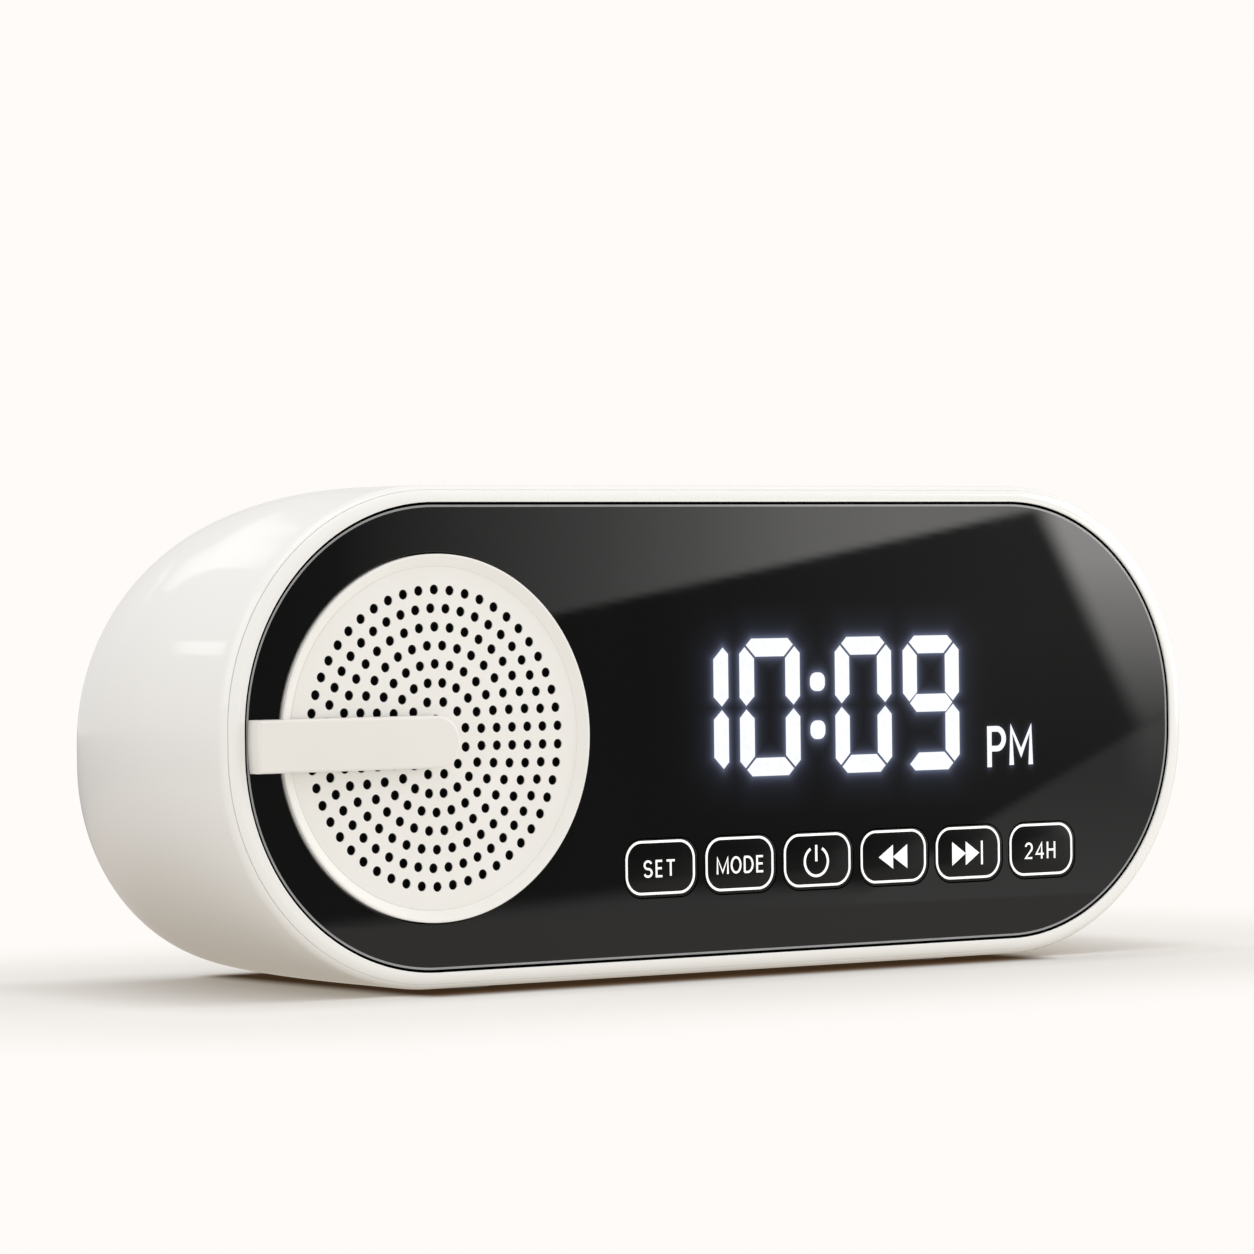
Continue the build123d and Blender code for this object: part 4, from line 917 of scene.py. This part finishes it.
def segments_of(digit, width):
    """The segments that are lit in a digit."""
    ends = [level_bar(width, 1), level_bar(width, -1)]
    sides = {(side, level): upright(width, side, level) for side in (-1, 1) for level in (-1, 1)}
    if digit == "1":
        return [sides[1, 1], sides[1, -1]]
    if digit == "0":
        return ends + list(sides.values())
    return ends + [middle_bar(width), sides[-1, 1], sides[1, 1], sides[1, -1]]


def lit_outlines():
    """All lit shapes: the digits' segments and the colon's two dots."""
    shapes = []
    for digit, left, width in digits:
        for outline in segments_of(digit, width):
            shapes.append(anticlockwise(outline + (left + width / 2, digit_z)))
    for level in (-1, 1):
        middle = (colon_x, digit_z + level * colon_spacing / 2)
        shapes.append(round_box(colon_size, colon_size, colon_corner, middle, 8))
    return shapes


def afternoon_paths():
    """The strokes of the PM sign."""
    left, width = pm_first
    height = pm_high - pm_low
    letters = [np.asarray(path) * (width, height) + (left, pm_low) for path in letter_paths("P")]
    start, middle, end = pm_second
    return letters + [[(start, pm_low), (start, pm_high), (middle, pm_low + pm_valley_share * height),
                       (end, pm_high), (end, pm_low)]]


def distance_to(path, points):
    """Least distance from each point to a chain of straight runs."""
    path = np.asarray(path, float)
    start, run = path[:-1], np.diff(path, axis=0)
    away = points[:, None] - start
    along = np.clip((away * run).sum(2) / (run ** 2).sum(1), 0, 1)
    return np.linalg.norm(away - along[:, :, None] * run, axis=2).min(1)


def build_display():
    """The lit segments and the PM sign, over a fine grid of the panel's face that carries their glow:
    a sum of two exponentials of the distance to the nearest lit edge, and one for the PM sign."""
    outlines = lit_outlines()
    flat_sign("segment", outlines, segment_light, "root", light_height, light_lift)
    sign_piece("light_pm", afternoon_paths(), pm_stroke, segment_light, "root", light_lift)
    xs, zs = (np.arange(low, high + glow_step, glow_step) for low, high in glow_field)
    flat = np.stack(np.meshgrid(xs, zs), 2).reshape(-1, 2)
    near = np.min([distance_to(np.vstack([outline, outline[:1]]), flat) for outline in outlines], 0)
    small = np.min([distance_to(path, flat) for path in afternoon_paths()], 0)
    glow = sum(level * np.exp(-near / reach) for level, reach in digit_glows)
    glow += pm_glow[0] * np.exp(-small / pm_glow[1])
    edge = np.minimum(flat - (xs[0], zs[0]), (xs[-1], zs[-1]) - flat).min(1)
    piece = new_piece("display_face", placed(flat, -glow_lift), [grid_quads(len(zs), len(xs))],
                      display_acrylic, "root", [True])
    set_values(piece, "glow", glow * np.clip(edge / glow_border, 0, 1))


build_casing()
build_rim()
build_panel()
build_grille()
build_bar()
build_keys()
build_legends()
build_display()


# Studio

def camera_axes():
    """The camera's right, down and forward directions from its yaw, pitch and roll."""
    forward = np.array([np.sin(camera_yaw) * np.cos(camera_pitch), np.cos(camera_yaw) * np.cos(camera_pitch),
                        -np.sin(camera_pitch)])
    right = np.array([np.cos(camera_yaw), -np.sin(camera_yaw), 0.0])
    down = np.cross(forward, right)
    c, s = np.cos(camera_roll), np.sin(camera_roll)
    return c * right + s * down, c * down - s * right, forward


def place_camera():
    """A long lens at the photograph's place."""
    right, down, forward = camera_axes()
    data = bpy.data.cameras.new("camera")
    data.sensor_width = sensor_width
    data.lens = camera_focal / picture_side * sensor_width
    data.clip_end = 100
    camera = add_to_scene("camera", data)
    rotation = Matrix(np.stack([right, -down, -forward], 1).tolist()).to_4x4()
    place = (np.array(camera_place) + (0, glass_y, panel_z)) * MM
    camera.matrix_world = Matrix.Translation(place.tolist()) @ rotation
    bpy.context.scene.camera = camera


def mirrored_point(pixel, distance):
    """Where the ray of a photograph's pixel, mirrored in the panel, is after a distance along the mirrored
    view's own direction, in metres."""
    right, down, forward = camera_axes()
    across, under = (np.array(pixel) - picture_side / 2) / camera_focal
    ray = forward + right * across + down * under
    start = np.array(camera_place) * MM
    hit = start - ray * start[1] / ray[1]
    return hit + ray * (1, -1, 1) * distance + np.array([0, glass_y, panel_z]) * MM


def bare_material(name):
    """A material without nodes yet, for a surface that is itself a light."""
    material = bpy.data.materials.new(name)
    material.use_nodes = True
    material.node_tree.nodes.clear()
    return material


def glossy_card(name, points, faces, values, colour):
    """A studio card that only mirror-like surfaces see, with a brightness at each of its points."""
    material = bare_material(name)
    glossy = add_node(material, "ShaderNodeLightPath").outputs["Is Glossy Ray"]
    level = add_node(material, "ShaderNodeAttribute", {"attribute_name": "level"}).outputs["Fac"]
    light = add_node(material, "ShaderNodeEmission", {"Color": colour, "Strength": level}).outputs[0]
    clear = add_node(material, "ShaderNodeBsdfTransparent").outputs[0]
    mix = add_node(material, "ShaderNodeMixShader", {0: glossy, 1: clear, 2: light}).outputs[0]
    add_node(material, "ShaderNodeOutputMaterial", {"Surface": mix})
    piece = new_piece(name, points / MM, faces, material, None)
    set_values(piece, "level", values)


def beyond(pixels, start, end, softness):
    """How far pixels lie to the left of the line from start to end, as 0 to 1 over the softness."""
    start, end = np.array(start, float), np.array(end, float)
    along = (end - start) / np.linalg.norm(end - start)
    side = (pixels[:, 0] - start[0]) * along[1] - (pixels[:, 1] - start[1]) * along[0]
    t = np.clip(side / softness + 0.5, 0, 1)
    return t * t * (3 - 2 * t)


def ramp(values, start, end):
    """Values turned to shares of the way from start to end, kept between 0 and 1."""
    return np.clip((values - start) / (end - start), 0, 1)


def panel_reflection():
    """The room that the panel mirrors: a bright window above a sloping edge, another at the right, a pale
    floor below, and a dark room between them. Its borders are lines between named pixels."""
    columns, rows = np.arange(180, 1260, 5.0), np.arange(440, 1030, 5.0)
    pixels = np.stack(np.meshgrid(columns, rows), 2).reshape(-1, 2)
    x, y = pixels.T
    top = beyond(pixels, (600, 604), (1000, 517), 9)
    top_level = np.interp(x, (250, 340, 380, 420, 500, 600, 700, 800, 900),
                          (0.1, 0.15, 0.3, 0.42, 0.68, 1.05, 1.65, 2.5, 3.0))
    right = 1 - beyond(pixels, (1134, 712), (1045, 516), 26)
    right_level = np.interp(y, (520, 560, 600, 640, 680, 720, 780), (5.7, 5.3, 4.0, 3.0, 1.9, 1.0, 0.5))
    low_right = 1 - beyond(pixels, (985, 822), (1150, 722), 8)
    low_right_level = np.interp(y, (780, 840, 900, 950), (0.57, 0.7, 0.85, 0.85))
    low_right_level += 0.5 * ramp(x, 1120, 1150) * ramp(y, 800, 730)
    border = np.interp(x, (240, 350, 550, 650, 880), (935, 925, 904, 891, 886))
    low = np.clip((y - border) / 16 + 0.5, 0, 1)
    low_level = np.interp(x, (300, 700, 1000), (0.62, 0.66, 0.85))
    level = 0.12 + 0.2 * ramp(x, 650, 1000) * ramp(y, 880, 630)
    for mask, value in ((low, low_level), (low_right, low_right_level),
                        (right * (1 - low_right), right_level), (top, top_level)):
        level = level * (1 - mask) + value * mask
    points = np.array([mirrored_point(pixel, card_distance) for pixel in pixels])
    glossy_card("mirrored_room", points, [grid_quads(len(rows), len(columns))], level, "#fffdfb")


# Each bright shape behind the clock: its upper and lower line, in metres, and the brightness along both
casing_highlights = {
    "window_behind": ([(-.063, .466, .239), (0, .455, .254), (.016, .438, .278), (.078, .423, .272),
                       (.108, .414, .265), (.125, .411, .252)],
                      [(-.101, .458, .249), (-.086, .443, .278), (-.097, .42, .31), (-.099, .409, .315),
                       (-.055, .404, .32), (.032, .403, .307)],
                      [0.95, 1.0, 1.05, 1.05, 1.0, 0.95], [1.2, 1.5, 1.6, 1.6, 1.5, 1.2]),
    "lamp_behind": ([(-.257, .427, .212), (-.269, .414, .217), (-.271, .403, .218)],
                    [(-.284, .423, .19), (-.288, .413, .192), (-.289, .402, .193)],
                    [0.9, 2.2, 2.6], [0.9, 2.2, 2.6]),
    "window_frame": ([(.038, .467, .224), (-.021, .472, .232), (-.065, .479, .215), (-.082, .487, .192),
                      (-.119, .496, .147)],
                     [(.03, .467, .213), (-.029, .472, .221), (-.075, .479, .205), (-.092, .487, .182),
                      (-.129, .496, .137)], [0.9, 1.2, 1.3, 1.2, 0.9], [0.9, 1.2, 1.3, 1.2, 0.9]),
    "small_lamp": ([(-.18, .4935, .11), (-.172, .4935, .11)], [(-.18, .4935, .092), (-.172, .4935, .092)],
                   [1.8, 1.8], [1.8, 1.8]),
}


def casing_reflections():
    """Bright shapes behind the clock that its glossy side mirrors: each is a strip between an upper and a
    lower line, with a brightness at every point."""
    for name, (upper, lower, upper_levels, lower_levels) in casing_highlights.items():
        values = np.array(upper_levels + lower_levels)
        quads = grid_quads(2, len(upper))[:, ::-1]
        glossy_card(name, np.array(upper + lower, float), [quads], values, "#fffefd")


def white_world():
    """A white studio: seen straight on it is the photograph's background, and it lights a little less."""
    world = bpy.data.worlds.new("studio")
    bpy.context.scene.world = world
    world.use_nodes = True
    world.node_tree.nodes.clear()
    path = add_node(world, "ShaderNodeLightPath").outputs
    seen = add_node(world, "ShaderNodeBackground", {"Color": paper_white}).outputs[0]
    felt = add_node(world, "ShaderNodeBackground", {"Color": felt_white, "Strength": world_level}).outputs[0]
    straight = add_node(world, "ShaderNodeMath",
                        {"operation": "MAXIMUM", 0: path["Is Camera Ray"], 1: path["Is Transmission Ray"]})
    mix = add_node(world, "ShaderNodeMixShader", {0: straight.outputs[0], 1: felt, 2: seen}).outputs[0]
    add_node(world, "ShaderNodeOutputWorld", {"Surface": mix})


def studio_floor():
    """A wide matt floor. To the camera it is white paper that melts into the background with distance, with a
    dark brown contact shadow painted into its colour round the clock's foot, and what it throws back at the
    clock is an even glow: dim under it, brighter before its front."""
    material = bare_material("matt_white_floor")
    place = add_node(material, "ShaderNodeTexCoord").outputs["Object"]
    mirrored = add_node(material, "ShaderNodeVectorMath", {"operation": "ABSOLUTE", 0: place}).outputs[0]

    def distance_from(half_width, half_depth):
        """The distance from a rectangle about the origin: the length of what a place lies past its sides."""
        outside = add_node(material, "ShaderNodeVectorMath",
                           {"operation": "SUBTRACT", 0: mirrored, 1: (half_width * MM, half_depth * MM, 0.0)})
        clipped = add_node(material, "ShaderNodeVectorMath",
                           {"operation": "MAXIMUM", 0: outside.outputs[0], 1: (0.0, 0.0, 0.0)})
        return add_node(material, "ShaderNodeVectorMath",
                        {"operation": "LENGTH", 0: clipped.outputs[0]}).outputs["Value"]

    reach = distance_from(casing_width / 2, casing_depth / 2)
    # Distance from the clock's foot, over which the painted contact shadow fades
    contact = distance_from(casing_width / 2 - corner_radius, casing_depth / 2 - 1)
    depth = add_node(material, "ShaderNodeSeparateXYZ", {0: place}).outputs["Y"]
    spans = {key: (reach, *ends) for key, ends in floor_fades.items()}
    spans["before"] = (depth, *((glass_y + step) * MM for step in front_fade))
    spans["contact"] = (contact, *contact_fade)
    path = add_node(material, "ShaderNodeLightPath").outputs
    fades = {"glossy": path["Is Glossy Ray"]}
    for key, (value, start, end) in spans.items():
        fades[key] = add_node(material, "ShaderNodeMapRange",
                              {"interpolation_type": "SMOOTHSTEP", "Value": value, "From Min": start,
                               "From Max": end}).outputs["Result"]
    tones = dict(floor_tones)
    for key, (fade, first, second) in floor_blends.items():
        tones[key] = add_node(material, "ShaderNodeMix", {"data_type": "RGBA", 0: fades[fade],
                                                          6: tones[first], 7: tones[second]}).outputs[2]
    felt = add_node(material, "ShaderNodeEmission", {"Color": tones["felt"]}).outputs[0]
    paper = add_node(material, "ShaderNodeEmission", {"Color": paper_white}).outputs[0]
    matt = add_node(material, "ShaderNodeBsdfDiffuse", {"Color": tones["matt"]}).outputs[0]
    share = add_node(material, "ShaderNodeMath", {"operation": "MULTIPLY", 0: fades["paper"], 1: paper_share})
    near = add_node(material, "ShaderNodeMixShader", {0: share.outputs[0], 1: matt, 2: paper}).outputs[0]
    seen = add_node(material, "ShaderNodeMixShader", {0: fades["seen"], 1: near, 2: paper}).outputs[0]
    both = add_node(material, "ShaderNodeMixShader", {0: path["Is Camera Ray"], 1: felt, 2: seen}).outputs[0]
    add_node(material, "ShaderNodeOutputMaterial", {"Surface": both})
    corners = np.array([(-1, -1, 0), (1, -1, 0), (1, 1, 0), (-1, 1, 0)]) * floor_half
    new_piece("floor", corners, [np.array([[0, 1, 2, 3]])], material, None)


def soft_lamp(name, place, aim, side, power):
    """A square soft light at a place, in metres, turned towards another."""
    data = bpy.data.lights.new(name, "AREA")
    data.shape = "RECTANGLE"
    data.size = data.size_y = side
    data.energy = power
    lamp = add_to_scene(name, data)
    lamp.location = place
    lamp.rotation_euler = (Vector(aim) - Vector(place)).to_track_quat("-Z", "Y").to_euler()


place_camera()
white_world()
studio_floor()
panel_reflection()
casing_reflections()
for lamp_name, (lamp_way, lamp_power) in lamps.items():
    lamp_place = np.array(lamp_way) / np.linalg.norm(lamp_way) * lamp_distance
    soft_lamp(lamp_name, lamp_place.tolist(), lamp_aim, lamp_side, lamp_power)
bpy.context.scene.view_settings.view_transform = "Standard"
